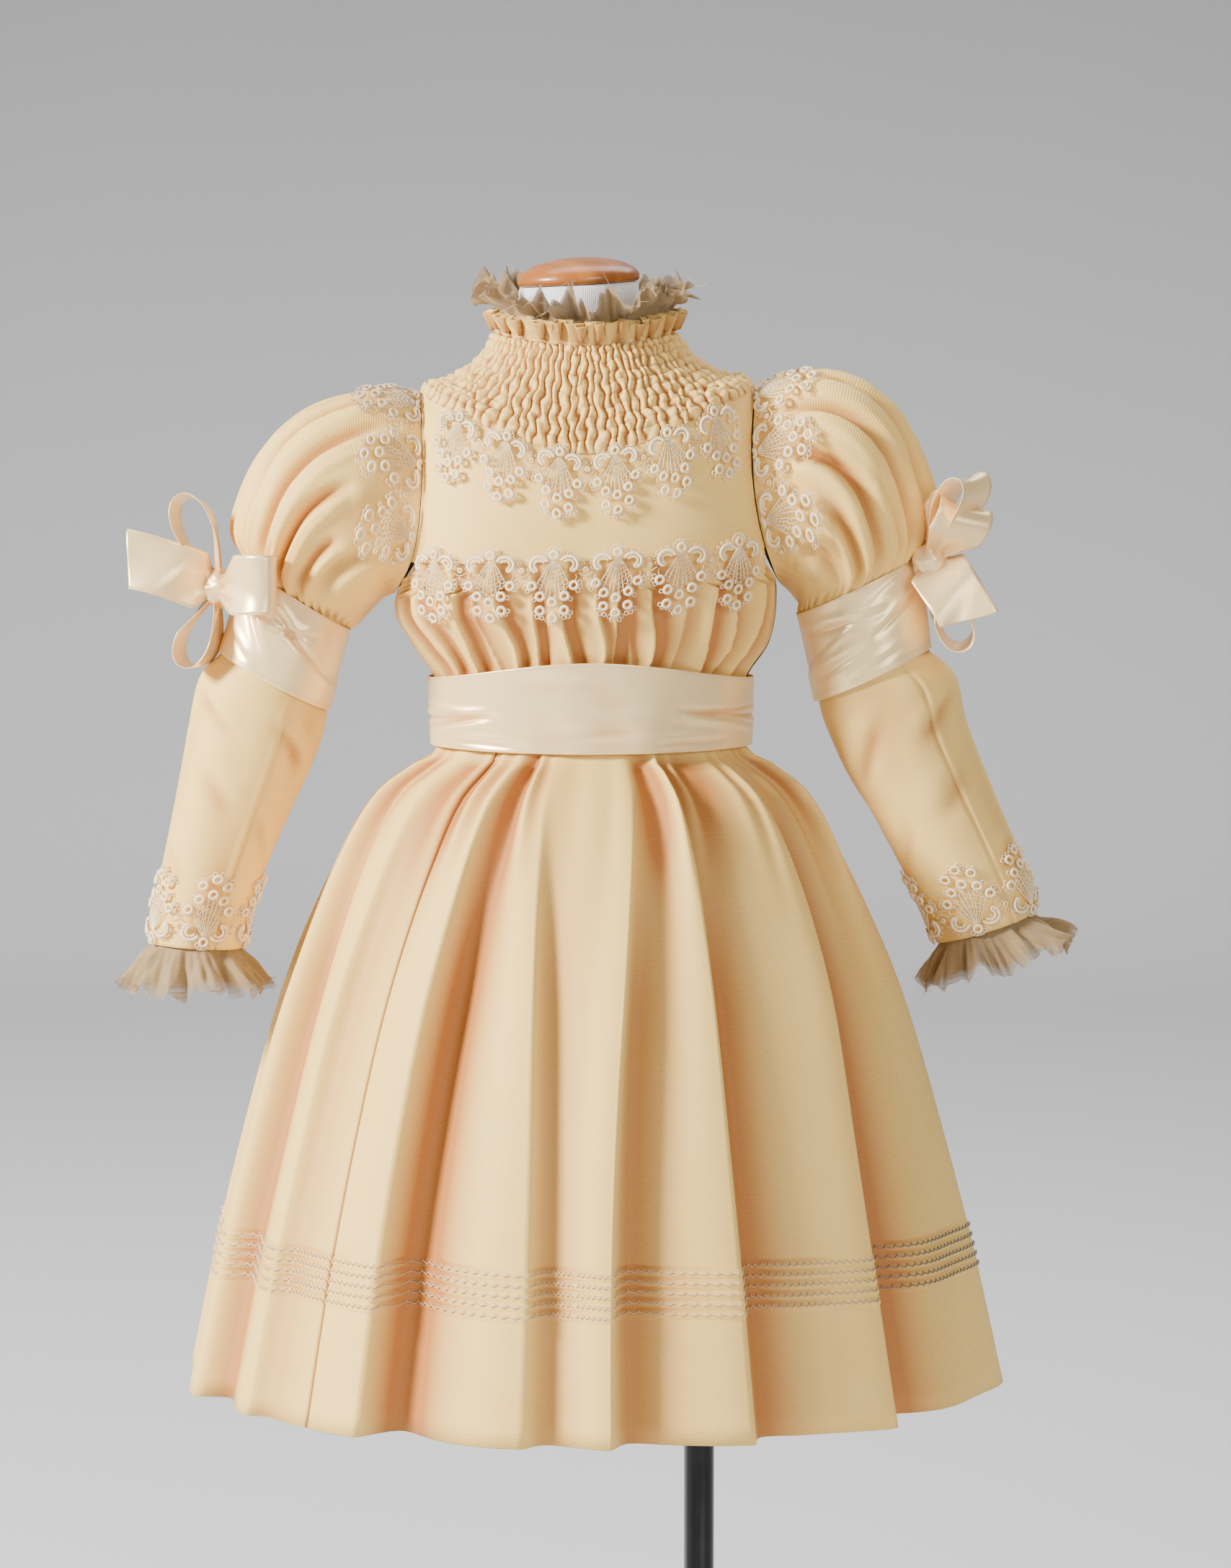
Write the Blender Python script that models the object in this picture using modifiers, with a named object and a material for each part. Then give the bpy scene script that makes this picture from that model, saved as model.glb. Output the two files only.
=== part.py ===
"""A small child's lace-trimmed silk dress on a dress form, at real size.

Metres, +Z up, with the front towards -Y. The origin is the middle of the base plate's
underside. Left and right are the viewer's. Every cloth piece is a thin closed wall, lofted
from a surface that is worked out from rings, and pieces that meet keep a small seam gap.
"""

import math
from collections import namedtuple

import bmesh
import bpy
import numpy as np
from mathutils import Vector, geometry

# Cloth thicknesses and the gaps between pieces
SILK = 0.0015
SKIRT_SILK = 0.0018
SMOCK_BACK = 0.0016
SATIN = 0.0014
ORGANZA = 0.0011
LACE = 0.0011
HALF_SEAM = 0.00018
LACE_LIFT = 0.0011

# Smocking, gathers and frills
SMOCK_RIBS = 60
SMOCK_RIB_HEIGHT = 0.0013
FRILL_LOOPS = 24
FRILL_WAVE = 0.0022
FRILL_ROOT_SHARE = 0.25
PUFF_GATHERS = 14
PUFF_GATHER_DEPTH = 0.0020
PUFF_SMOOTH_SHARE = 0.15
BODICE_PLEATS = 9
BODICE_PLEAT_DEPTH = 0.0024
BODICE_PLEAT_START = 5.2
BODICE_PLEAT_END = 8.6
BODICE_PLEAT_FADE = 0.8
SKIRT_COLUMNS = 81
SKIRT_GATHERS = 27
SKIRT_GATHER_DEPTH = 0.0030
FOLD_START = 0.03
FOLD_GROWTH = 0.40
FOLD_DRIFT = 2.5
FOLD_EDGE_WIDTH = 1.6

# Waves of the organza frills, which grow from the sewn level to the edge level and crowd
# together here and there
FrillWave = namedtuple("FrillWave", "count depth sewn_level edge_level crowding crowds")
NECK_RUFFLE_WAVE = FrillWave(10, 0.0036, 0.6, 2.0, 25.0, 3)
CUFF_RUFFLE_WAVE = FrillWave(8, 0.0050, 1.1, 3.0, 30.0, 2)

# Where a puff's gathers are deepest, and how far they reach
Gathering = namedtuple("Gathering", "level reach")
PUFF_GATHERINGS = (Gathering(0.9, 0.8), Gathering(5.2, 1.1))
PUFF_SMOOTH_END = 6.0

# Pinches of the belt at its sides, and the step where an arm band is folded over
BELT_PINCH_ANGLE = 88.0
BELT_PINCH_WIDTH = 16.0
BELT_PINCH_RISE = 0.3
BAND_FOLD_MIDDLE = 0.55
BAND_FOLD_SLANT = 0.55

# Columns of the walls and segments of the turned pieces
YOKE_COLUMNS = 12
BODICE_COLUMNS = 16
BELT_COLUMNS = 32
BAND_COLUMNS = 20
LOWER_SLEEVE_COLUMNS = 18
FRILL_COLUMNS_A_WAVE = 4
SMOCK_ROWS = 5
LENGTH_STEPS = 60
LEVEL_STEPS = 30
CAP_SEGMENTS = 20
POLE_SEGMENTS = 20
BASE_SEGMENTS = 32

# Lace teeth
TOOTH_DEPTH = 0.039
TOOTH_BAND = 0.30
TOOTH_EDGE = ((0.0, TOOTH_BAND), (0.20, 0.66), (0.50, 1.0), (0.80, 0.66))
GAP_CENTRES = ((0.31, 0.40), (0.69, 0.40))
GAP_HALF_WIDTH = 0.10
GAP_ABOVE = 0.14
GAP_BELOW = 0.15
CAP_LACE_LIFT = 0.0027
CUFF_LACE_DEPTH = 0.043
CUFF_LACE_LIFT = 0.0014
LACE_EDGE_STEPS = 3

# Rows of lace: their teeth, the angles of their ends, the level of their sewn edge and the
# level that the teeth point towards
LaceRow = namedtuple("LaceRow", "name teeth start_angle end_angle edge_level far_level")
BODY_LACE = (
    LaceRow("lace_neck_front", 6, -62.0, 62.0, 3.07, 5.0),
    LaceRow("lace_neck_back", 6, 118.0, 242.0, 3.07, 5.0),
    LaceRow("lace_yoke_front", 6, -64.0, 63.0, 4.92, 7.0),
    LaceRow("lace_yoke_back", 6, 117.0, 243.0, 4.92, 7.0),
)
CAP_LACE = LaceRow("lace_cap", 6, -128.0, 128.0, 0.35, 5.0)
CUFF_LACE = (
    LaceRow("front", 3, -7.0, 208.0, 6.75, 3.0),
    LaceRow("back", 2, 209.0, 352.0, 6.75, 3.0),
)

# Satin bows
RIBBON_WIDTH = 0.036
RIBBON_STEPS = 7
RIBBON_ROOT = 0.20
RIBBON_SPREAD = 0.22
LOOP_SHARES = (0.04, 0.96)
TAIL_SHARES = (0.08, 1.0)

# Stand
POLE_X = 0.067
POLE_RADIUS = 0.0095
BASE_RADIUS = 0.150
BASE_HEIGHT = 0.008
FLANGE_RADIUS = 0.026
FLANGE_HEIGHT = 0.014
FORM_UNDERSIDE = 0.546
CAP_CENTRE = (-0.0074, 0.0, 0.9722)
CAP_RADIUS = 0.0373
CAP_DOME = 0.0130
CAP_EDGE = 0.0030
CAP_LEAN = math.radians(3.2)
CAP_NOD = math.radians(2.0)
CAP_BEVEL = 0.0012
BASE_BEVEL = 0.0015
STAND_GAP = 0.0003
FLANGE_BEVEL = 0.006
FLANGE_RIM = 0.003

Ring = namedtuple("Ring", "side_x front_y back_y side_z front_z back_z square centre_x tilt")

# Body of the dress, from the neck edge down to inside the belt
TORSO = (
    Ring(0.0550, 0.0500, 0.0480, 0.9385, 0.9310, 0.9430, 2.0, -0.0035, 0.000),
    Ring(0.0655, 0.0585, 0.0550, 0.9235, 0.9130, 0.9270, 2.1, -0.0030, 0.010),
    Ring(0.0840, 0.0680, 0.0640, 0.9120, 0.8900, 0.9090, 2.2, -0.0025, 0.015),
    Ring(0.1005, 0.0755, 0.0720, 0.9045, 0.8680, 0.8880, 2.3, -0.0020, 0.020),
    Ring(0.1085, 0.0830, 0.0785, 0.8580, 0.8370, 0.8480, 2.6, -0.0020, 0.030),
    Ring(0.1130, 0.0865, 0.0800, 0.8090, 0.8060, 0.8080, 2.7, -0.0015, 0.045),
    Ring(0.1175, 0.0855, 0.0795, 0.7740, 0.7740, 0.7740, 2.5, -0.0030, 0.020),
    Ring(0.1100, 0.0800, 0.0760, 0.7500, 0.7520, 0.7500, 2.2, 0.0000, 0.000),
    Ring(0.0965, 0.0750, 0.0715, 0.7290, 0.7340, 0.7290, 2.0, 0.0000, 0.000),
    Ring(0.0935, 0.0730, 0.0700, 0.7066, 0.7066, 0.7066, 2.0, 0.0000, 0.000),
)
NECK_EDGE = 0
SMOCK_EDGE = 3
YOKE_LEVELS = (3.035, 3.25, 3.6, 4.05, 4.55, 5.0)
BODICE_LEVELS = (5.0, 5.4, 5.9, 6.7, 7.5, 8.1, 9.0)
PUFF_LEVELS = (0.0, 0.8, 2.2, 3.8, 5.0, 6.0, 7.0)
LOWER_SLEEVE_LEVELS = (0.0, 1.0, 2.0, 4.2, 6.0, 7.0)
BAND_LEVELS = (0.0, 0.7, 1.3, 2.0)
CUFF_RUFFLE_LEVELS = (0.0, 1.0, 3.0)

# Gathered heading above the smocking
FRILL = (
    Ring(0.0556, 0.0507, 0.0487, 0.9404, 0.9329, 0.9449, 2.0, -0.0035, 0.0),
    Ring(0.0590, 0.0550, 0.0520, 0.9530, 0.9450, 0.9570, 2.0, -0.0035, 0.0),
)

# Organza frill inside the neck
NECK_RUFFLE = (
    Ring(0.0530, 0.0480, 0.0460, 0.9375, 0.9300, 0.9420, 2.0, -0.0035, 0.0),
    Ring(0.0525, 0.0480, 0.0455, 0.9560, 0.9480, 0.9600, 2.0, -0.0040, 0.0),
    Ring(0.0620, 0.0595, 0.0555, 0.9660, 0.9510, 0.9740, 2.0, -0.0060, 0.0),
)

# Belt, its outer face from top to bottom
BELT = (
    Ring(0.0998, 0.0797, 0.0754, 0.7300, 0.7425, 0.7300, 2.0, 0.0, 0.0),
    Ring(0.0994, 0.0785, 0.0748, 0.7090, 0.7150, 0.7090, 2.0, 0.0, 0.0),
    Ring(0.0990, 0.0775, 0.0745, 0.6885, 0.6875, 0.6885, 2.0, 0.0, 0.0),
)
BELT_PINCH_DEPTH = 0.0014

SkirtRing = namedtuple("SkirtRing", "height side_x front_y back_y gather")
SKIRT = (
    SkirtRing(0.7060, 0.0935, 0.0730, 0.0700, 0.00),
    SkirtRing(0.6865, 0.0940, 0.0735, 0.0705, 0.10),
    SkirtRing(0.6770, 0.1065, 0.0855, 0.0825, 0.90),
    SkirtRing(0.6630, 0.1265, 0.1050, 0.1010, 1.00),
    SkirtRing(0.6380, 0.1450, 0.1220, 0.1180, 0.90),
    SkirtRing(0.5950, 0.1670, 0.1430, 0.1380, 0.60),
    SkirtRing(0.5350, 0.1905, 0.1650, 0.1590, 0.30),
    SkirtRing(0.4600, 0.2125, 0.1850, 0.1780, 0.10),
    SkirtRing(0.3800, 0.2330, 0.2030, 0.1950, 0.00),
    SkirtRing(0.2970, 0.2510, 0.2160, 0.2070, 0.00),
)

# Folds of the skirt: each is an overlying edge with a valley on its right
SkirtFold = namedtuple("SkirtFold", "waist_angle hem_angle valley width height ridge")
SKIRT_FOLDS = (
    SkirtFold(-168, -166, 0.014, 3.0, 0.005, 7.0),
    SkirtFold(-148, -152, 0.010, 2.6, 0.004, 8.0),
    SkirtFold(-122, -126, 0.016, 3.2, 0.006, 8.0),
    SkirtFold(-98, -96, 0.011, 2.8, 0.004, 7.0),
    SkirtFold(-74, -70, 0.013, 3.0, 0.005, 8.0),
    SkirtFold(-52, -54, 0.006, 3.0, 0.003, 6.0),
    SkirtFold(-25, -32, 0.021, 3.2, 0.006, 7.0),
    SkirtFold(-13, -8.5, 0.009, 2.6, 0.004, 9.0),
    SkirtFold(14, 3, 0.012, 2.8, 0.007, 5.0),
    SkirtFold(25, 22.3, 0.014, 2.8, 0.004, 6.0),
    SkirtFold(56, 44.5, 0.024, 3.6, 0.010, 7.0),
    SkirtFold(84, 82, 0.010, 3.0, 0.004, 8.0),
    SkirtFold(106, 110, 0.015, 3.0, 0.006, 8.0),
    SkirtFold(130, 128, 0.010, 2.8, 0.004, 7.0),
    SkirtFold(156, 160, 0.016, 3.2, 0.006, 8.0),
)
SKIRT_SEAMS = {"skirt_front": (-39.6, 53.4), "skirt_right": (53.4, 140.4),
               "skirt_back": (140.4, 219.6), "skirt_left": (219.6, 320.4)}

ArmRing = namedtuple("ArmRing", "outer_x outer_z inner_x inner_z half_depth")
PUFF_LEFT = (
    ArmRing(-0.1044, 0.8991, -0.1202, 0.7815, 0.0475),
    ArmRing(-0.1270, 0.9050, -0.1240, 0.7783, 0.0560),
    ArmRing(-0.1520, 0.9020, -0.1290, 0.7738, 0.0620),
    ArmRing(-0.1790, 0.8910, -0.1340, 0.7692, 0.0630),
    ArmRing(-0.2030, 0.8660, -0.1385, 0.7655, 0.0580),
    ArmRing(-0.2190, 0.8230, -0.1430, 0.7620, 0.0460),
    ArmRing(-0.2100, 0.7988, -0.1486, 0.7598, 0.0340),
    ArmRing(-0.2117, 0.7929, -0.1503, 0.7539, 0.0338),
)
PUFF_RIGHT = (
    ArmRing(0.1005, 0.9034, 0.1148, 0.7884, 0.0475),
    ArmRing(0.1230, 0.9140, 0.1196, 0.7835, 0.0560),
    ArmRing(0.1480, 0.9170, 0.1230, 0.7800, 0.0610),
    ArmRing(0.1740, 0.9060, 0.1245, 0.7775, 0.0620),
    ArmRing(0.1960, 0.8790, 0.1252, 0.7755, 0.0580),
    ArmRing(0.2125, 0.8280, 0.1256, 0.7735, 0.0470),
    ArmRing(0.2000, 0.8036, 0.1262, 0.7686, 0.0375),
    ArmRing(0.2008, 0.7975, 0.1276, 0.7629, 0.0372),
)
BAND_LEFT = (
    ArmRing(-0.2124, 0.8001, -0.1462, 0.7583, 0.0370),
    ArmRing(-0.2205, 0.7728, -0.1530, 0.7335, 0.0372),
    ArmRing(-0.2282, 0.7455, -0.1604, 0.7087, 0.0370),
)
BAND_RIGHT = (
    ArmRing(0.2022, 0.8046, 0.1241, 0.7676, 0.0400),
    ArmRing(0.2058, 0.7760, 0.1310, 0.7408, 0.0393),
    ArmRing(0.2084, 0.7480, 0.1373, 0.7143, 0.0385),
)
BAND_STEP = 0.0008
LOWER_LEFT = (
    ArmRing(-0.2252, 0.7506, -0.1602, 0.7152, 0.0347),
    ArmRing(-0.2269, 0.7447, -0.1617, 0.7095, 0.0349),
    ArmRing(-0.2400, 0.7290, -0.1635, 0.6990, 0.0372),
    ArmRing(-0.2470, 0.7000, -0.1690, 0.6810, 0.0362),
    ArmRing(-0.2540, 0.6640, -0.1820, 0.6520, 0.0340),
    ArmRing(-0.2620, 0.6260, -0.1955, 0.6210, 0.0310),
    ArmRing(-0.2690, 0.5920, -0.2080, 0.5890, 0.0283),
    ArmRing(-0.2730, 0.5660, -0.2140, 0.5620, 0.0270),
)
LOWER_RIGHT = (
    ArmRing(0.2054, 0.7528, 0.1384, 0.7212, 0.0362),
    ArmRing(0.2066, 0.7470, 0.1393, 0.7152, 0.0364),
    ArmRing(0.2235, 0.7310, 0.1430, 0.7020, 0.0385),
    ArmRing(0.2310, 0.7010, 0.1565, 0.6720, 0.0375),
    ArmRing(0.2460, 0.6630, 0.1730, 0.6450, 0.0350),
    ArmRing(0.2610, 0.6290, 0.1890, 0.6150, 0.0320),
    ArmRing(0.2710, 0.6040, 0.2030, 0.5880, 0.0300),
    ArmRing(0.2746, 0.5851, 0.2123, 0.5650, 0.0288),
)
RUFFLE_LEFT = (
    ArmRing(-0.2694, 0.5706, -0.2160, 0.5672, 0.0243),
    ArmRing(-0.2702, 0.5652, -0.2168, 0.5618, 0.0243),
    ArmRing(-0.2790, 0.5540, -0.2085, 0.5510, 0.0340),
    ArmRing(-0.2890, 0.5390, -0.1990, 0.5370, 0.0440),
)
RUFFLE_RIGHT = (
    ArmRing(0.2709, 0.5891, 0.2138, 0.5707, 0.0260),
    ArmRing(0.2720, 0.5839, 0.2149, 0.5655, 0.0260),
    ArmRing(0.2830, 0.5770, 0.2103, 0.5545, 0.0360),
    ArmRing(0.2975, 0.5680, 0.2035, 0.5390, 0.0450),
)

# Armhole: its top and bottom on the body's levels, and how far it reaches to the front
ARMHOLE_MIDDLE = 4.38
ARMHOLE_REACH = 1.27
ARMHOLE_ANGLE = 25.0
ARMHOLE_LIFT = 0.0007
ARMHOLE_MARGIN = 0.4

# Bows: where each loop or tail ends from its knot, the ribbon's cross direction, and how far
# a loop opens to each side or a tail bends
Ribbon = namedtuple("Ribbon", "tip_x tip_y tip_z wide_x wide_y wide_z opening")
KNOT_LEFT = (-0.2270, -0.0160, 0.7844)
KNOT_RIGHT = (0.2052, -0.0284, 0.8026)
KNOT_SIZE = (0.0100, 0.0085, 0.0120)
BOW_LEFT = {
    "tail": Ribbon(-0.0540, -0.0150, 0.0190, -0.15, 0.15, 0.97, -0.0080),
    "upper_loop": Ribbon(-0.0200, 0.0110, 0.0540, 0.05, 0.98, -0.10, 0.0100),
    "front_loop": Ribbon(0.0340, -0.0500, 0.0040, 0.10, 0.00, 0.99, 0.0103),
    "lower_loop": Ribbon(-0.0180, 0.0000, -0.0470, 0.10, 0.99, 0.00, 0.0090),
}
BOW_RIGHT = {
    "small_loop": Ribbon(0.0235, -0.0200, 0.0490, 0.35, 0.85, -0.10, 0.0075),
    "side_loop": Ribbon(0.0205, -0.0180, 0.0320, 0.93, 0.10, 0.00, 0.0105),
    "tail": Ribbon(0.0230, -0.0200, -0.0360, 0.85, 0.15, 0.45, 0.0060),
    "lower_loop": Ribbon(0.0220, 0.0040, -0.0520, 0.00, 0.99, 0.10, 0.0100),
}

# Inset of the dress form from the cloth, level by level down the body
FormInset = namedtuple("FormInset", "level inset")
FORM_INSETS = (
    FormInset(1.0, 0.0080), FormInset(1.5, 0.0052), FormInset(2.0, 0.0037), FormInset(2.5, 0.0034),
    FormInset(3.0, 0.0040), FormInset(3.5, 0.0066), FormInset(4.0, 0.0070), FormInset(5.0, 0.0080),
    FormInset(6.0, 0.0100), FormInset(7.0, 0.0085), FormInset(8.0, 0.0065), FormInset(9.0, 0.0050),
)
FormRing = namedtuple("FormRing", "height half_width half_depth centre_x")
FORM_NECK = (
    FormRing(0.9688, 0.0350, 0.0350, -0.0074),
    FormRing(0.9660, 0.0366, 0.0366, -0.0074),
    FormRing(0.9500, 0.0366, 0.0366, -0.0066),
    FormRing(0.9380, 0.0385, 0.0375, -0.0055),
    FormRing(0.9280, 0.0440, 0.0410, -0.0045),
)
FORM_HIPS = (
    FormRing(0.6700, 0.0900, 0.0690, 0.0),
    FormRing(0.6250, 0.0935, 0.0725, 0.0),
    FormRing(0.5800, 0.0945, 0.0735, 0.0),
    FormRing(0.5560, 0.0930, 0.0720, 0.0),
    FormRing(FORM_UNDERSIDE, 0.0860, 0.0650, 0.0),
)
FORM_COLUMNS = 16

SILK_COLOUR = (0.80, 0.64, 0.42)
SATIN_COLOUR = (0.86, 0.68, 0.50)
LACE_COLOUR = (0.72, 0.60, 0.46)
ORGANZA_COLOUR = (0.42, 0.35, 0.23)


def row_at(table, place):
    """Read a table between its rows, on a smooth curve through them."""
    rows = np.array(table, dtype=float)
    last = len(rows) - 1
    place = min(max(place, 0.0), float(last))
    first = min(int(place), last - 1)
    step = place - first
    before = rows[max(first - 1, 0)]
    start = rows[first]
    end = rows[first + 1]
    after = rows[min(first + 2, last)]
    bend = 2 * before - 5 * start + 4 * end - after
    twist = 3 * start - before - 3 * end + after
    values = start + 0.5 * ((end - before) * step + bend * step ** 2 + twist * step ** 3)
    return type(table[0])(*values)


def body_surface(rings):
    """Surface through upright rings; angle 0 is the front, and grows to the viewer's right."""
    def point(angle, level):
        ring = row_at(rings, level)
        across = math.sin(math.radians(angle))
        ahead = math.cos(math.radians(angle))
        depth = ring.front_y if ahead > 0 else ring.back_y
        end_z = ring.front_z if ahead > 0 else ring.back_z
        wide = (abs(across) / ring.side_x) ** ring.square
        deep = (abs(ahead) / depth) ** ring.square
        radius = (wide + deep) ** (-1.0 / ring.square)
        x = radius * across + ring.centre_x
        z = ring.side_z + (end_z - ring.side_z) * ahead ** 2 + ring.tilt * x
        return np.array((x, -radius * ahead, z))

    def core(level):
        ring = row_at(rings, level)
        return np.array((ring.centre_x, 0.0, 0.5 * ring.side_z + 0.25 * (ring.front_z + ring.back_z)))

    return point, core


def arm_surface(rings):
    """Surface through slanted arm rings; angle 0 is the outer side and 90 the front."""
    def point(angle, level):
        ring = row_at(rings, level)
        outward = math.cos(math.radians(angle))
        x = (ring.outer_x + ring.inner_x) / 2 + (ring.outer_x - ring.inner_x) / 2 * outward
        z = (ring.outer_z + ring.inner_z) / 2 + (ring.outer_z - ring.inner_z) / 2 * outward
        return np.array((x, -ring.half_depth * math.sin(math.radians(angle)), z))

    def core(level):
        ring = row_at(rings, level)
        return np.array(((ring.outer_x + ring.inner_x) / 2, 0.0, (ring.outer_z + ring.inner_z) / 2))

    return point, core


def armhole_point(turn, side):
    """Point of the armhole's edge on the body; turn 0 is the shoulder and 90 the front."""
    level = ARMHOLE_MIDDLE - ARMHOLE_REACH * math.cos(math.radians(turn))
    angle = side * (90.0 - ARMHOLE_ANGLE * math.sin(math.radians(turn)))
    return moved_out(TORSO_SURFACE, angle, level, ARMHOLE_LIFT)


def armhole_limit(level):
    """Largest angle from the front that a body panel may reach at a level."""
    rise = (ARMHOLE_MIDDLE - level) / ARMHOLE_REACH
    if abs(rise) >= 1.0:
        return 90.0
    return 90.0 - ARMHOLE_ANGLE * math.sqrt(1.0 - rise ** 2) - ARMHOLE_MARGIN


def puff_surface(rings, side):
    """Arm surface whose first ring is drawn onto the armhole's edge."""
    point, core = arm_surface(rings)

    def set_in(angle, level):
        place = point(angle, level)
        if level < 1.0:
            place = place + (armhole_point(angle, side) - point(angle, 0.0)) * (1.0 - level) ** 2
        return place

    return set_in, core


def fold_angles(share):
    """Angles of the skirt's fold edges at a share of the way from waist to hem."""
    drift = 1.0 - (1.0 - share) ** FOLD_DRIFT
    return [fold.waist_angle + (fold.hem_angle - fold.waist_angle) * drift for fold in SKIRT_FOLDS]


def skirt_angle(column_angle, share):
    """Angle round the skirt of a column, which keeps its place between the folds."""
    middles = [(fold.waist_angle + fold.hem_angle) / 2 for fold in SKIRT_FOLDS]
    edges = fold_angles(share)
    turns = math.floor((column_angle + 180.0) / 360.0)
    inside = column_angle - 360.0 * turns
    middles = [middles[-1] - 360.0] + middles + [middles[0] + 360.0]
    edges = [edges[-1] - 360.0] + edges + [edges[0] + 360.0]
    return float(np.interp(inside, middles, edges)) + 360.0 * turns


def fold_offset(angle, share):
    """How far the folds move the skirt out or in at an angle."""
    growth = min(max((share - FOLD_START) / FOLD_GROWTH, 0.0), 1.0)
    growth = growth * growth * (3.0 - 2.0 * growth)
    total = 0.0
    for fold, edge in zip(SKIRT_FOLDS, fold_angles(share)):
        past = (angle - edge + 180.0) % 360.0 - 180.0
        if past > 0:
            total -= fold.valley * (past / fold.width) * math.exp(1.0 - past / fold.width)
            total += fold.height * math.exp(-(past / FOLD_EDGE_WIDTH) ** 2)
        else:
            total += fold.height * math.exp(-(past / fold.ridge) ** 2)
    return total * growth


def skirt_point(column_angle, level):
    """Point of the skirt's outer face, with its folds and waist gathers."""
    ring = row_at(SKIRT, level)
    share = (SKIRT[0].height - ring.height) / (SKIRT[0].height - SKIRT[-1].height)
    angle = skirt_angle(column_angle, share)
    across = math.sin(math.radians(angle))
    ahead = math.cos(math.radians(angle))
    depth = ring.front_y if ahead > 0 else ring.back_y
    swell = math.cos(math.radians(column_angle * SKIRT_GATHERS))
    push = SKIRT_GATHER_DEPTH * ring.gather * swell + fold_offset(angle, share)
    return np.array(((ring.side_x + push) * across, -(depth + push) * ahead, ring.height))


def skirt_core(level):
    """Middle of the skirt at a level."""
    return np.array((0.0, 0.0, row_at(SKIRT, level).height))


def moved_out(surface, angle, level, distance):
    """Point of a surface, moved out from it along its normal."""
    point, core = surface
    place = point(angle, level)
    if distance == 0.0:
        return place
    round_step = point(angle + 0.4, level) - point(angle - 0.4, level)
    down_step = point(angle, level + 0.02) - point(angle, level - 0.02)
    normal = np.cross(down_step, round_step)
    normal = normal / np.linalg.norm(normal)
    if np.dot(normal, place - core(level)) < 0:
        normal = -normal
    return place + normal * distance


def close_edges(grid, closed):
    """Draw a grid's edge points in by half a seam gap, so that neighbours stay apart."""
    def drawn_in(edge, neighbour):
        step = neighbour - edge
        length = np.linalg.norm(step, axis=-1, keepdims=True)
        return edge + step / length * HALF_SEAM

    grid[0] = drawn_in(grid[0], grid[1])
    grid[-1] = drawn_in(grid[-1], grid[-2])
    if not closed:
        grid[:, 0] = drawn_in(grid[:, 0], grid[:, 1])
        grid[:, -1] = drawn_in(grid[:, -1], grid[:, -2])
    return grid


def edge_loops(rows, columns, first, closed):
    """Edge loops of a grid, each as pairs of place along the loop and vertex number."""
    top = [(c / columns, first + c) for c in range(columns)]
    bottom = [(c / columns, first + (rows - 1) * columns + c) for c in range(columns)]
    if closed:
        return [top, bottom]
    loop = [(c / (columns - 1), first + c) for c in range(columns - 1)]
    loop += [(1 + r / (rows - 1), first + r * columns + columns - 1) for r in range(rows - 1)]
    loop += [(2 + c / (columns - 1), first + rows * columns - 1 - c) for c in range(columns - 1)]
    loop += [(3 + r / (rows - 1), first + (rows - 1 - r) * columns) for r in range(rows - 1)]
    return [loop]


def bridge(outer_loop, inner_loop, length):
    """Faces between two loops that may have different numbers of points."""
    outer = outer_loop + [(length, outer_loop[0][1])]
    inner = inner_loop + [(length, inner_loop[0][1])]
    faces = []
    i = 0
    j = 0
    while i < len(outer) - 1 or j < len(inner) - 1:
        next_outer = outer[i + 1][0] if i < len(outer) - 1 else math.inf
        next_inner = inner[j + 1][0] if j < len(inner) - 1 else math.inf
        if abs(next_outer - next_inner) < 1e-9:
            faces.append((outer[i][1], outer[i + 1][1], inner[j + 1][1], inner[j][1]))
            i += 1
            j += 1
        elif next_outer < next_inner:
            faces.append((outer[i][1], outer[i + 1][1], inner[j][1]))
            i += 1
        else:
            faces.append((outer[i][1], inner[j + 1][1], inner[j][1]))
            j += 1
    return faces


def grid_faces(rows, columns, first, closed):
    """Triangles of a grid of points, cut the same way on both faces of a wall."""
    faces = []
    for r in range(rows - 1):
        for c in range(columns if closed else columns - 1):
            across = (c + 1) % columns
            start = first + r * columns
            faces.append((start + c, start + across, start + columns + across))
            faces.append((start + c, start + columns + across, start + columns + c))
    return faces


def new_object(name, vertices, faces, material):
    """Make one closed object with its faces pointing out."""
    mesh = bpy.data.meshes.new(name)
    mesh.from_pydata([tuple(vertex) for vertex in vertices], [], faces)
    work = bmesh.new()
    work.from_mesh(mesh)
    bmesh.ops.recalc_face_normals(work, faces=work.faces)
    work.to_mesh(mesh)
    work.free()
    mesh.shade_smooth()
    mesh.materials.append(material)
    piece = bpy.data.objects.new(name, mesh)
    DRESS.objects.link(piece)
    return piece


def sample(surface, angles, levels, distance):
    """Grid of points of a surface; angles and distance may depend on the level."""
    grid = []
    for level in levels:
        row_angles = angles(level) if callable(angles) else angles
        grid.append([moved_out(surface, angle, level, distance(angle, level)) for angle in row_angles])
    return np.array(grid)


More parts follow.
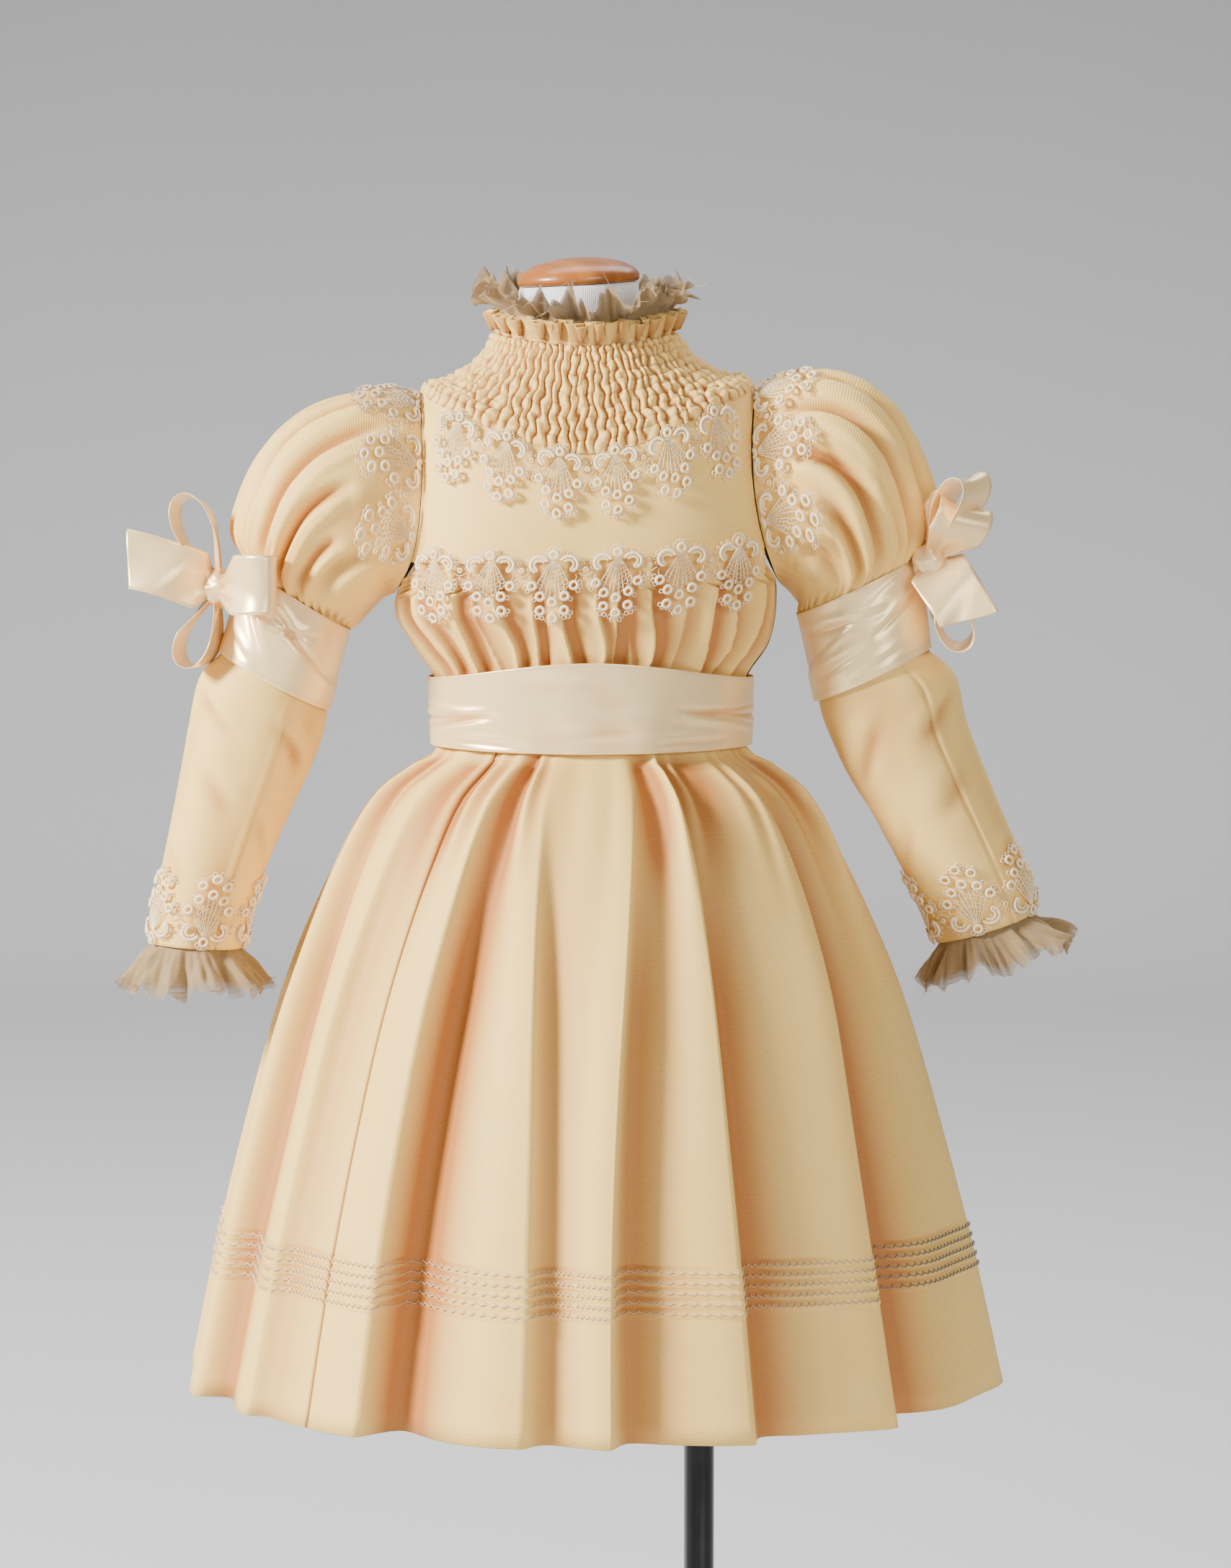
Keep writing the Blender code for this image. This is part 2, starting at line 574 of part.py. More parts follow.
def wall(name, material, surface, angles, levels, thickness=SILK, relief=None, closed=False,
         inner_angles=None):
    """Cloth wall between a surface, with its relief, and a plain or equal inner face."""
    plain_back = inner_angles is not None
    lift = relief or (lambda angle, level: 0.0)
    depth = (lambda angle, level: -thickness) if plain_back else (
        lambda angle, level: lift(angle, level) - thickness)
    outer = close_edges(sample(surface, angles, levels, lift), closed)
    inner = close_edges(sample(surface, inner_angles if plain_back else angles, levels, depth), closed)
    outer_rows, outer_columns = outer.shape[:2]
    inner_rows, inner_columns = inner.shape[:2]
    count = outer_rows * outer_columns
    faces = grid_faces(outer_rows, outer_columns, 0, closed)
    faces += [face[::-1] for face in grid_faces(inner_rows, inner_columns, count, closed)]
    outer_loops = edge_loops(outer_rows, outer_columns, 0, closed)
    inner_loops = edge_loops(inner_rows, inner_columns, count, closed)
    for outer_loop, inner_loop in zip(outer_loops, inner_loops):
        faces += bridge(outer_loop, inner_loop, 1.0 if closed else 4.0)
    vertices = np.concatenate((outer.reshape(-1, 3), inner.reshape(-1, 3)))
    return new_object(name, vertices, faces, material)


def round_angles(columns, start=0.0):
    """Angles of a closed ring of columns."""
    return [start + 360.0 * c / columns for c in range(columns)]


def spread(start, end, steps):
    """Evenly spaced values from start to end."""
    return [start + (end - start) * k / steps for k in range(steps + 1)]


def even_angles(surface, level, start, end, shares):
    """Angles at given shares of the length along a level."""
    angles = spread(start, end, LENGTH_STEPS)
    points = np.array([surface[0](angle, level) for angle in angles])
    lengths = np.concatenate(([0.0], np.cumsum(np.linalg.norm(np.diff(points, axis=0), axis=1))))
    return np.interp(np.array(shares) * lengths[-1], lengths, angles)


def level_beyond(surface, angle, start, end, distance):
    """Level that lies a distance from the start level, going towards the end level."""
    levels = spread(start, end, LEVEL_STEPS)
    points = np.array([surface[0](angle, level) for level in levels])
    lengths = np.concatenate(([0.0], np.cumsum(np.linalg.norm(np.diff(points, axis=0), axis=1))))
    return float(np.interp(distance, lengths, levels))


def tooth_limit(across):
    """Lower edge of the lace at a place across its teeth."""
    inside = across % 1.0
    places = [point[0] for point in TOOTH_EDGE] + [1.0]
    limits = [point[1] for point in TOOTH_EDGE] + [TOOTH_BAND]
    return float(np.interp(inside, places, limits))


def in_gap(across, down):
    """Whether a place of the lace lies in one of its cut gaps."""
    for centre_across, centre_down in GAP_CENTRES:
        beside = abs(across % 1.0 - centre_across) / GAP_HALF_WIDTH
        drop = down - centre_down
        beyond = drop / GAP_BELOW if drop > 0 else -drop / GAP_ABOVE
        if beside + beyond < 1.0:
            return True
    return False


def lace_pattern(teeth):
    """Flat lace strip as points and triangles, with two gaps cut in each tooth."""
    points = []
    edges = []

    def add_loop(loop, closed_loop=True):
        first = len(points)
        points.extend(loop)
        edges.extend((first + k, first + k + 1) for k in range(len(loop) - 1))
        if closed_loop:
            edges.append((len(points) - 1, first))

    outline = [(k / LACE_EDGE_STEPS, 0.0) for k in range(LACE_EDGE_STEPS * teeth + 1)]
    lower = []
    for tooth in range(teeth):
        lower += [(tooth + across, down) for across, down in TOOTH_EDGE]
    lower.append((float(teeth), TOOTH_BAND))
    add_loop(outline + lower[::-1])
    for tooth in range(teeth):
        for across, down in GAP_CENTRES:
            add_loop([(tooth + across, down - GAP_ABOVE), (tooth + across + GAP_HALF_WIDTH, down),
                      (tooth + across, down + GAP_BELOW), (tooth + across - GAP_HALF_WIDTH, down)])
    flat = [Vector(point) for point in points]
    places, _, faces, _, _, _ = geometry.delaunay_2d_cdt(flat, edges, [], 0, 1e-6)
    kept = []
    for face in faces:
        across = sum(places[k].x for k in face) / 3
        down = sum(places[k].y for k in face) / 3
        if down < tooth_limit(across) and not in_gap(across, down):
            kept.append(tuple(face))
    return [(place.x, place.y) for place in places], kept


def lace(name, surface, row, depth, lift):
    """Toothed lace that lies on a surface, its straight edge at the row's edge level."""
    places, triangles = lace_pattern(row.teeth)
    shares = [place[0] / row.teeth for place in places]
    angles = even_angles(surface, row.edge_level, row.start_angle, row.end_angle, shares)
    lower = []
    upper = []
    for (_, down), angle in zip(places, angles):
        level = level_beyond(surface, angle, row.edge_level, row.far_level, down * depth)
        lower.append(moved_out(surface, angle, level, lift))
        upper.append(moved_out(surface, angle, level, lift + LACE))
    count = len(places)
    faces = list(triangles)
    faces += [tuple(k + count for k in triangle[::-1]) for triangle in triangles]
    uses = {}
    for triangle in triangles:
        for k in range(3):
            pair = (triangle[k], triangle[(k + 1) % 3])
            uses[frozenset(pair)] = uses.get(frozenset(pair), []) + [pair]
    for pairs in uses.values():
        if len(pairs) == 1:
            a, b = pairs[0]
            faces.append((b, a, a + count, b + count))
    return new_object(name, lower + upper, faces, LACE_MATERIAL)


def ribbon_place(piece, is_loop, share):
    """Middle of a bow's ribbon, from the knot round a loop or out along a tail."""
    tip = np.array((piece.tip_x, piece.tip_y, piece.tip_z))
    aside = np.cross(tip, (piece.wide_x, piece.wide_y, piece.wide_z))
    aside = aside / np.linalg.norm(aside) * piece.opening
    if is_loop:
        return tip * math.sin(math.pi * share) + aside * math.sin(2.0 * math.pi * share)
    return tip * share + aside * math.sin(math.pi * share)


def ribbon(name, knot_centre, piece):
    """Satin strip of one loop or tail, narrow where it goes into the knot."""
    is_loop = name.endswith("loop")
    start, end = LOOP_SHARES if is_loop else TAIL_SHARES
    tip = np.array((piece.tip_x, piece.tip_y, piece.tip_z))
    wide = np.array((piece.wide_x, piece.wide_y, piece.wide_z))
    wide = wide - tip * np.dot(wide, tip) / np.dot(tip, tip)
    wide = wide / np.linalg.norm(wide)
    sections = []
    for share in spread(start, end, RIBBON_STEPS):
        along = ribbon_place(piece, is_loop, share + 0.01) - ribbon_place(piece, is_loop, share - 0.01)
        along = along / np.linalg.norm(along)
        free = min(share, 1.0 - share) if is_loop else share
        width = RIBBON_WIDTH * min(1.0, RIBBON_ROOT + (1.0 - RIBBON_ROOT) * free / RIBBON_SPREAD)
        normal = np.cross(along, wide) * SATIN / 2
        middle = np.array(knot_centre) + ribbon_place(piece, is_loop, share)
        sections.append([middle + wide * width * side / 2 + normal * face
                         for side, face in ((-1, -1), (1, -1), (1, 1), (-1, 1))])
    vertices = [corner for section in sections for corner in section]
    faces = []
    for k in range(0, 4 * len(sections) - 4, 4):
        faces += [(k, k + 1, k + 5), (k, k + 5, k + 4), (k + 3, k + 2, k + 6), (k + 3, k + 6, k + 7)]
        faces += [(k + 1, k + 2, k + 6, k + 5), (k + 3, k, k + 4, k + 7)]
    faces.append((0, 1, 2, 3))
    last = len(vertices) - 4
    faces.append((last + 3, last + 2, last + 1, last))
    return new_object(name, vertices, faces, SATIN_MATERIAL)


def knot(name, centre):
    """Small rounded knot from a squashed ball."""
    work = bmesh.new()
    bmesh.ops.create_uvsphere(work, u_segments=8, v_segments=5, radius=1.0)
    bmesh.ops.scale(work, vec=KNOT_SIZE, verts=work.verts)
    bmesh.ops.translate(work, vec=centre, verts=work.verts)
    mesh = bpy.data.meshes.new(name)
    work.to_mesh(mesh)
    work.free()
    mesh.materials.append(SATIN_MATERIAL)
    piece = bpy.data.objects.new(name, mesh)
    DRESS.objects.link(piece)
    return piece


def bow(name, ribbons, knot_centre):
    """Bow of loops and tails, joined to its knot into one body."""
    piece = knot(name, knot_centre)
    for label, row in ribbons.items():
        strip = ribbon(f"{name}_{label}", knot_centre, row)
        DRESS.objects.unlink(strip)
        CUTTERS.objects.link(strip)
        strip.hide_render = True
        strip.display_type = "WIRE"
        join = piece.modifiers.new(f"join_{label}", "BOOLEAN")
        join.operation = "UNION"
        join.object = strip
    return piece


def loft(name, rings, material):
    """Closed smooth body through rings of points, with flat ends."""
    vertices = [point for ring in rings for point in ring]
    columns = len(rings[0])
    faces = grid_faces(len(rings), columns, 0, True)
    faces.append(tuple(range(columns))[::-1])
    faces.append(tuple(range(len(vertices) - columns, len(vertices))))
    return new_object(name, vertices, faces, material)


def turned(name, profile, material, segments):
    """Body turned from a profile of radius and height that runs down its outer side."""
    mesh = bpy.data.meshes.new(name)
    points = [(radius, 0.0, height) for radius, height in profile]
    mesh.from_pydata(points, [(k, k + 1) for k in range(len(points) - 1)], [])
    mesh.materials.append(material)
    piece = bpy.data.objects.new(name, mesh)
    DRESS.objects.link(piece)
    screw = piece.modifiers.new("turn", "SCREW")
    screw.steps = segments
    screw.render_steps = segments
    screw.use_merge_vertices = True
    screw.merge_threshold = 0.00001
    return piece


def finish_material(name, colour, roughness, metallic=0.0, sheen=0.0):
    """Principled material of one finish."""
    material = bpy.data.materials.new(name)
    material.use_nodes = True
    shader = material.node_tree.nodes["Principled BSDF"]
    shader.inputs["Base Color"].default_value = (*colour, 1.0)
    shader.inputs["Roughness"].default_value = roughness
    shader.inputs["Metallic"].default_value = metallic
    shader.inputs["Sheen Weight"].default_value = sheen
    material.diffuse_color = (*colour, 1.0)
    return material


def smock_relief(angle, level):
    """Ribs of the gathered yoke."""
    rib = 0.5 + 0.5 * math.cos(math.radians(angle * SMOCK_RIBS))
    return SMOCK_RIB_HEIGHT * rib


def frill_relief(angle, level):
    """Loops of the heading, deeper towards its top."""
    depth = FRILL_WAVE * (FRILL_ROOT_SHARE + (1.0 - FRILL_ROOT_SHARE) * level)
    return depth * math.cos(math.radians(angle * FRILL_LOOPS))


def ruffle_relief(wave):
    """Relief of an organza frill, whose waves grow towards its edge."""
    def relief(angle, level):
        share = max(level - wave.sewn_level, 0.0) / (wave.edge_level - wave.sewn_level)
        crowding = wave.crowding * math.sin(math.radians(wave.crowds * angle))
        return wave.depth * share * math.cos(math.radians(angle * wave.count + crowding))

    return relief


def puff_relief(angle, level):
    """Gathers of a puffed sleeve, strongest at the armhole and at the band."""
    near = [math.exp(-((level - gathering.level) / gathering.reach) ** 2) for gathering in PUFF_GATHERINGS]
    strength = min(sum(near) + PUFF_SMOOTH_SHARE, 1.0) * min(level, 1.0)
    strength *= min(max(PUFF_SMOOTH_END - level, 0.0), 1.0)
    return PUFF_GATHER_DEPTH * strength * math.cos(math.radians(angle * PUFF_GATHERS))


def bodice_relief(angle, level):
    """Pleats of the bodice, which sink in between the yoke and the belt."""
    share = min(max(level - BODICE_PLEAT_START, 0.0) / BODICE_PLEAT_FADE, 1.0)
    share *= min(max(BODICE_PLEAT_END - level, 0.0) / BODICE_PLEAT_FADE, 1.0)
    wave = 0.5 - 0.5 * math.cos(math.radians(angle * BODICE_PLEATS * 2))
    return -BODICE_PLEAT_DEPTH * share * wave


def belt_relief(angle, level):
    """Pinched fold along the belt's middle at each side."""
    aside = (angle + 180.0) % 360.0 - 180.0
    near_side = math.exp(-((abs(aside) - BELT_PINCH_ANGLE) / BELT_PINCH_WIDTH) ** 2)
    return -BELT_PINCH_DEPTH * near_side * math.exp(-((level - 1.0) / BELT_PINCH_RISE) ** 2)


def band_relief(angle, level):
    """Step where the upper turn of an arm band lies over the lower one."""
    fold = BAND_FOLD_MIDDLE + BAND_FOLD_SLANT * math.cos(math.radians(angle))
    return BAND_STEP if level > fold else 0.0


def panel_angles(side_sign, columns):
    """Angles of a front or back body panel, which narrow at the armholes."""
    def at(level):
        reach = armhole_limit(level)
        middle = 0.0 if side_sign > 0 else 180.0
        return [middle + share * reach for share in spread(-1.0, 1.0, columns)]
    return at


def build_body():
    """Smocking, neck frills, yoke and bodice."""
    wall("smocked_yoke", SILK_MATERIAL, TORSO_SURFACE, round_angles(2 * SMOCK_RIBS),
         spread(NECK_EDGE, SMOCK_EDGE, SMOCK_ROWS), SMOCK_BACK, smock_relief, True,
         round_angles(SMOCK_RIBS // 2))
    wall("collar_frill", SILK_MATERIAL, FRILL_SURFACE, round_angles(3 * FRILL_LOOPS),
         [0.0, 1.0], SILK, frill_relief, True)
    wall("neck_ruffle", ORGANZA_MATERIAL, NECK_RUFFLE_SURFACE,
         round_angles(FRILL_COLUMNS_A_WAVE * NECK_RUFFLE_WAVE.count), [0.0, 1.0, 2.0], ORGANZA,
         ruffle_relief(NECK_RUFFLE_WAVE), True)
    for name, sign in (("front", 1), ("back", -1)):
        wall(f"yoke_{name}", SILK_MATERIAL, TORSO_SURFACE, panel_angles(sign, YOKE_COLUMNS),
             YOKE_LEVELS)
        wall(f"bodice_{name}", SILK_MATERIAL, TORSO_SURFACE, panel_angles(sign, BODICE_COLUMNS),
             BODICE_LEVELS, SILK, bodice_relief)
    wall("belt", SATIN_MATERIAL, BELT_SURFACE, round_angles(BELT_COLUMNS), (0.0, 1.0, 2.0),
         SATIN, belt_relief, True)


def skirt_columns(start, end):
    """Column angles of one gore, with columns drawn onto the edges and valleys of its folds."""
    step = 360.0 / SKIRT_COLUMNS
    count = round((end - start) / step)
    angles = spread(start, end, count)
    for fold in SKIRT_FOLDS:
        middle = (fold.waist_angle + fold.hem_angle) / 2
        if middle < start - step:
            middle += 360.0
        nearest = min(range(1, count - 1), key=lambda k: abs(angles[k] - middle))
        if abs(angles[nearest] - middle) < step * 0.6:
            angles[nearest] = middle - 0.3
            angles[nearest + 1] = min(middle + fold.width, angles[nearest + 1] + 0.4 * step)
    return sorted(angles)


def build_skirt():
    """Four gathered gores that hang from under the belt."""
    for name, (start, end) in SKIRT_SEAMS.items():
        wall(name, SILK_MATERIAL, SKIRT_SURFACE, skirt_columns(start, end), range(len(SKIRT)),
             SKIRT_SILK)


def build_sleeves():
    """Puffs, arm bands, lower sleeves, cuff frills and their lace."""
    for label, side, puff, band, lower, ruffle in (
            ("left", -1, PUFF_LEFT, BAND_LEFT, LOWER_LEFT, RUFFLE_LEFT),
            ("right", 1, PUFF_RIGHT, BAND_RIGHT, LOWER_RIGHT, RUFFLE_RIGHT)):
        puff_face = puff_surface(puff, side)
        wall(f"sleeve_puff_{label}", SILK_MATERIAL, puff_face, round_angles(2 * PUFF_GATHERS),
             PUFF_LEVELS, SILK, puff_relief, True)
        wall(f"arm_band_{label}", SATIN_MATERIAL, arm_surface(band),
             round_angles(BAND_COLUMNS), BAND_LEVELS, SATIN, band_relief, True)
        lower_face = arm_surface(lower)
        wall(f"sleeve_lower_{label}", SILK_MATERIAL, lower_face, round_angles(LOWER_SLEEVE_COLUMNS),
             LOWER_SLEEVE_LEVELS, SILK, None, True)
        wall(f"cuff_ruffle_{label}", ORGANZA_MATERIAL, arm_surface(ruffle),
             round_angles(FRILL_COLUMNS_A_WAVE * CUFF_RUFFLE_WAVE.count), CUFF_RUFFLE_LEVELS, ORGANZA,
             ruffle_relief(CUFF_RUFFLE_WAVE), True)
        lace(f"{CAP_LACE.name}_{label}", puff_face, CAP_LACE, TOOTH_DEPTH, CAP_LACE_LIFT)
        for row in CUFF_LACE:
            lace(f"lace_cuff_{label}_{row.name}", lower_face, row, CUFF_LACE_DEPTH, CUFF_LACE_LIFT)


def build_body_lace():
    """The lace row round the smocking and the row along the yoke's lower edge."""
    for row in BODY_LACE:
        lace(row.name, TORSO_SURFACE, row, TOOTH_DEPTH, LACE_LIFT)


def build_stand():
    """Dress form, wooden neck cap, pole and base plate."""
    def upright_ring(ring, tilted):
        points = []
        for angle in round_angles(FORM_COLUMNS):
            x = ring.half_width * math.sin(math.radians(angle)) + ring.centre_x
            y = -ring.half_depth * math.cos(math.radians(angle))
            lean = math.tan(CAP_LEAN) * (x - ring.centre_x) + math.tan(CAP_NOD) * y
            points.append(np.array((x, y, ring.height + tilted * lean)))
        return points

    rings = [upright_ring(ring, 1.0) for ring in FORM_NECK]
    for inset in FORM_INSETS:
        rings.append([moved_out(TORSO_SURFACE, angle, inset.level, -inset.inset)
                      for angle in round_angles(FORM_COLUMNS)])
    rings += [upright_ring(ring, 0.0) for ring in FORM_HIPS]
    loft("dress_form", rings, finish_material("white jersey", (0.80, 0.79, 0.77), 0.8, sheen=0.3))

    arc = [(CAP_RADIUS * math.sin(math.radians(turn)), CAP_DOME * math.cos(math.radians(turn)))
           for turn in spread(0.0, 90.0, 4)]
    profile = arc + [(CAP_RADIUS, -CAP_EDGE * 0.6), (CAP_RADIUS - CAP_BEVEL, -CAP_EDGE),
                     (0.0, -CAP_EDGE)]
    cap = turned("neck_cap", profile, finish_material("oiled beech", (0.55, 0.27, 0.10), 0.3), CAP_SEGMENTS)
    cap.location = CAP_CENTRE
    cap.rotation_euler = (CAP_NOD, -CAP_LEAN, 0.0)

    black = finish_material("black enamel", (0.012, 0.012, 0.013), 0.22)
    profile = [(0.0, BASE_HEIGHT), (BASE_RADIUS - BASE_BEVEL, BASE_HEIGHT),
               (BASE_RADIUS, BASE_HEIGHT - BASE_BEVEL), (BASE_RADIUS, 0.0), (0.0, 0.0)]
    turned("base_plate", profile, black, BASE_SEGMENTS)
    foot = BASE_HEIGHT + STAND_GAP
    top = FORM_UNDERSIDE - STAND_GAP
    profile = [(0.0, top), (POLE_RADIUS, top), (POLE_RADIUS, foot + FLANGE_HEIGHT),
               (FLANGE_RADIUS - FLANGE_BEVEL, foot + FLANGE_HEIGHT * 0.55),
               (FLANGE_RADIUS, foot + FLANGE_RIM), (FLANGE_RADIUS, foot), (0.0, foot)]
    pole = turned("pole", profile, black, POLE_SEGMENTS)
    pole.location = (POLE_X, 0.0, 0.0)


for old_object in list(bpy.data.objects):
    bpy.data.objects.remove(old_object)

DRESS = bpy.data.collections.new("lace_dress_on_form")
CUTTERS = bpy.data.collections.new("joined_ribbons")
bpy.context.scene.collection.children.link(DRESS)
bpy.context.scene.collection.children.link(CUTTERS)

SILK_MATERIAL = finish_material("ribbed silk", SILK_COLOUR, 0.55, sheen=0.3)
SATIN_MATERIAL = finish_material("satin ribbon", SATIN_COLOUR, 0.32, sheen=0.2)
LACE_MATERIAL = finish_material("corded lace", LACE_COLOUR, 0.8)
ORGANZA_MATERIAL = finish_material("frayed organza", ORGANZA_COLOUR, 0.7)

TORSO_SURFACE = body_surface(TORSO)
FRILL_SURFACE = body_surface(FRILL)
NECK_RUFFLE_SURFACE = body_surface(NECK_RUFFLE)
BELT_SURFACE = body_surface(BELT)
SKIRT_SURFACE = (skirt_point, skirt_core)

build_body()
build_skirt()
build_sleeves()
build_body_lace()
bow("bow_left", BOW_LEFT, KNOT_LEFT)
bow("bow_right", BOW_RIGHT, KNOT_RIGHT)
build_stand()
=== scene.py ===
"""Looks of a small child's lace-trimmed silk dress on a limbless dress form."""

import math
from collections import namedtuple

import bpy
import numpy as np
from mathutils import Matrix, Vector


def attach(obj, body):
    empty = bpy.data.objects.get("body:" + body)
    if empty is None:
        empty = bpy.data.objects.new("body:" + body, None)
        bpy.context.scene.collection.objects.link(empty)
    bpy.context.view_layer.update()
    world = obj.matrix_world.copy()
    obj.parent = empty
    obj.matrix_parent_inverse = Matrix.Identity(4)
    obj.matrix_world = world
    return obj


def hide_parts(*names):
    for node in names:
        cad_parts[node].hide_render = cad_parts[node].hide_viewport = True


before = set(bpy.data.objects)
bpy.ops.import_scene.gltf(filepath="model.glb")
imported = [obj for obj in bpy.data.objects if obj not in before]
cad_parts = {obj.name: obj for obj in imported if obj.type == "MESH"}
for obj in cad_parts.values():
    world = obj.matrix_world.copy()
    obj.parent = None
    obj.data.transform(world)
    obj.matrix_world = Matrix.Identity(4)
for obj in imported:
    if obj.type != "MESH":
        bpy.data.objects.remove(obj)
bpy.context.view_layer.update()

# Studio: a seamless pale grey paper sweep, a large soft light high on the left, weaker ones in
# front and behind, and a wide one over the paper. The camera stands three metres off at chest
# height, looking slightly down, with a long lens.
SWEEP_WIDTH = 14.0
SWEEP_START = 3.9
SWEEP_RADIUS = 1.3
SWEEP_PROFILE = [(-6.5, 0.0), (SWEEP_START, 0.0)]
SWEEP_PROFILE += [(SWEEP_START + SWEEP_RADIUS * math.sin(turn), SWEEP_RADIUS * (1.0 - math.cos(turn)))
                  for turn in np.radians(np.arange(6, 91, 6))]
SWEEP_PROFILE += [(SWEEP_START + SWEEP_RADIUS, 6.5)]
CAMERA_PLACE = (0.015, -2.99, 0.93)
CAMERA_PITCH_DOWN = 5.1
CAMERA_LENS = 112.1


class Wire:
    """A socket of a material's node tree, with arithmetic."""

    def __init__(self, paint, socket):
        self.paint = paint
        self.socket = socket

    def math(self, operation, first, second):
        return self.paint.node("ShaderNodeMath", {"operation": operation}, {0: first, 1: second})

    def __add__(self, other):
        return self.math("ADD", self, other)

    __radd__ = __add__

    def __sub__(self, other):
        return self.math("SUBTRACT", self, other)

    def __rsub__(self, other):
        return self.math("SUBTRACT", other, self)

    def __mul__(self, other):
        return self.math("MULTIPLY", self, other)

    __rmul__ = __mul__

    def __pow__(self, other):
        return self.math("POWER", self, other)


class Paint:
    """A material under construction, and the nodes that make it."""

    def __init__(self, name, **constants):
        self.material = bpy.data.materials.new(name)
        self.material.use_nodes = True
        self.tree = self.material.node_tree
        self.shader = self.tree.nodes["Principled BSDF"]
        for label, value in constants.items():
            self.shader.inputs[label.replace("_", " ")].default_value = value

    def join(self, value, socket):
        if isinstance(value, Wire):
            self.tree.links.new(value.socket, socket)
        else:
            socket.default_value = value

    def node(self, kind, settings, inputs, output=0):
        made = self.tree.nodes.new(kind)
        for label, value in settings.items():
            setattr(made, label, value)
        for label, value in inputs.items():
            self.join(value, made.inputs[label])
        return Wire(self, made.outputs[output])

    def mix(self, factor, first, second):
        made = self.tree.nodes.new("ShaderNodeMix")
        made.data_type = "RGBA"
        sockets = {socket.identifier: socket for socket in made.inputs}
        self.join(factor, sockets["Factor_Float"])
        for value, label in ((first, "A_Color"), (second, "B_Color")):
            self.join(value if isinstance(value, Wire) else (*value, 1.0), sockets[label])
        return Wire(self, [out for out in made.outputs if out.identifier == "Result_Color"][0])

    def place(self):
        return self.node("ShaderNodeTexCoord", {}, {}, "Object")

    def cloth(self):
        return self.node("ShaderNodeUVMap", {"uv_map": "cloth"}, {})

    # Painted shade: each point's stored share of shade, which the cloth materials paint darker and warmer.
    def hollow(self):
        return self.node("ShaderNodeAttribute", {"attribute_name": "hollow"}, {}, "Fac")

    def colour(self):
        return Wire(self, self.shader.inputs["Base Color"].links[0].from_socket)

    def part(self, vector, axis):
        return self.node("ShaderNodeSeparateXYZ", {}, {"Vector": vector}, axis)

    def noise(self, vector, scale, detail=3.0, roughness=0.5):
        return self.node("ShaderNodeTexNoise", {}, {"Vector": vector, "Scale": scale, "Detail": detail,
                                                    "Roughness": roughness}, "Fac")

    def stretched(self, vector, x, y, z):
        return self.node("ShaderNodeVectorMath", {"operation": "MULTIPLY"}, {0: vector, 1: (x, y, z)})

    def ramp(self, value, low, high, start=0.0, end=1.0):
        return self.node("ShaderNodeMapRange", {"clamp": True},
                         {"Value": value, "From Min": low, "From Max": high, "To Min": start, "To Max": end})

    def wave(self, value):
        return self.node("ShaderNodeMath", {"operation": "SINE"}, {0: value})

    def finish(self, colour=None, roughness=None, height=None, strength=0.5, distance=0.0003, alpha=None):
        if colour is not None:
            self.join(colour, self.shader.inputs["Base Color"])
        if roughness is not None:
            self.join(roughness, self.shader.inputs["Roughness"])
        if alpha is not None:
            self.join(alpha, self.shader.inputs["Alpha"])
        if height is not None:
            bump = self.node("ShaderNodeBump", {}, {"Height": height, "Strength": strength,
                                                    "Distance": distance})
            self.join(bump, self.shader.inputs["Normal"])
        return self.material


def new_piece(name, mesh, material, solid_names=(), slot=None):
    """Link a mesh as a piece that rides on the one body and stands for solids."""
    mesh.shade_smooth()
    mesh.materials.append(material)
    piece = bpy.data.objects.new(name, mesh)
    bpy.context.scene.collection.objects.link(piece)
    if slot:
        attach(piece, "root")
    if solid_names:
        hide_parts(*solid_names)
    return piece


paper = Paint("backdrop paper", Roughness=0.9)
# Painted light: the paper is coloured lighter towards the floor and darker up the sweep, standing in for the
# fall of the studio light.
paper_painted_light = paper.ramp(paper.part(paper.place(), "Z"), 1.6, 0.0)
paper_colour = paper.mix(paper_painted_light, (0.31, 0.31, 0.315), (0.62, 0.62, 0.62))
paper_colour = paper.mix(paper.noise(paper.place(), 3.0) * 0.12, paper_colour, (0.48, 0.48, 0.49))
paper.finish(paper_colour, height=paper.noise(paper.place(), 400.0), strength=0.05)
sweep_mesh = bpy.data.meshes.new("sweep")
sweep_points = [(x, y, z) for y, z in SWEEP_PROFILE for x in (-SWEEP_WIDTH / 2, SWEEP_WIDTH / 2)]
sweep_faces = [(2 * k, 2 * k + 1, 2 * k + 3, 2 * k + 2) for k in range(len(SWEEP_PROFILE) - 1)]
sweep_mesh.from_pydata(sweep_points, [], sweep_faces)
new_piece("sweep", sweep_mesh, paper.material)


def named_rows(kind, rows):
    """Rows of a table with the names of their columns."""
    return [kind(*row) for row in rows]


Lamp = namedtuple("Lamp", "name place size power aim_y")
LAMPS = named_rows(Lamp, (
    ("key", (-2.9, -1.25, 2.1), 0.8, 400.0, 0.0),
    ("fill", (1.6, -3.1, 1.6), 1.5, 66.0, 0.0),
    ("back", (0.9, 1.1, 2.3), 1.0, 14.0, 0.0),
    ("wash", (0.0, 1.6, 4.2), 3.0, 130.0, 3.8),
))
LAMP_AIM_HEIGHT = 0.65
for row in LAMPS:
    lamp_data = bpy.data.lights.new(row.name, "AREA")
    lamp_data.size = row.size
    lamp_data.energy = row.power
    lamp = bpy.data.objects.new(row.name, lamp_data)
    lamp.location = row.place
    aim = Vector((0.0, row.aim_y, LAMP_AIM_HEIGHT)) - Vector(row.place)
    lamp.rotation_euler = aim.to_track_quat("-Z", "Y").to_euler()
    bpy.context.scene.collection.objects.link(lamp)

world = bpy.data.worlds.new("room")
world.use_nodes = True
world.node_tree.nodes["Background"].inputs["Color"].default_value = (0.80, 0.81, 0.84, 1.0)
world.node_tree.nodes["Background"].inputs["Strength"].default_value = 0.26
bpy.context.scene.world = world

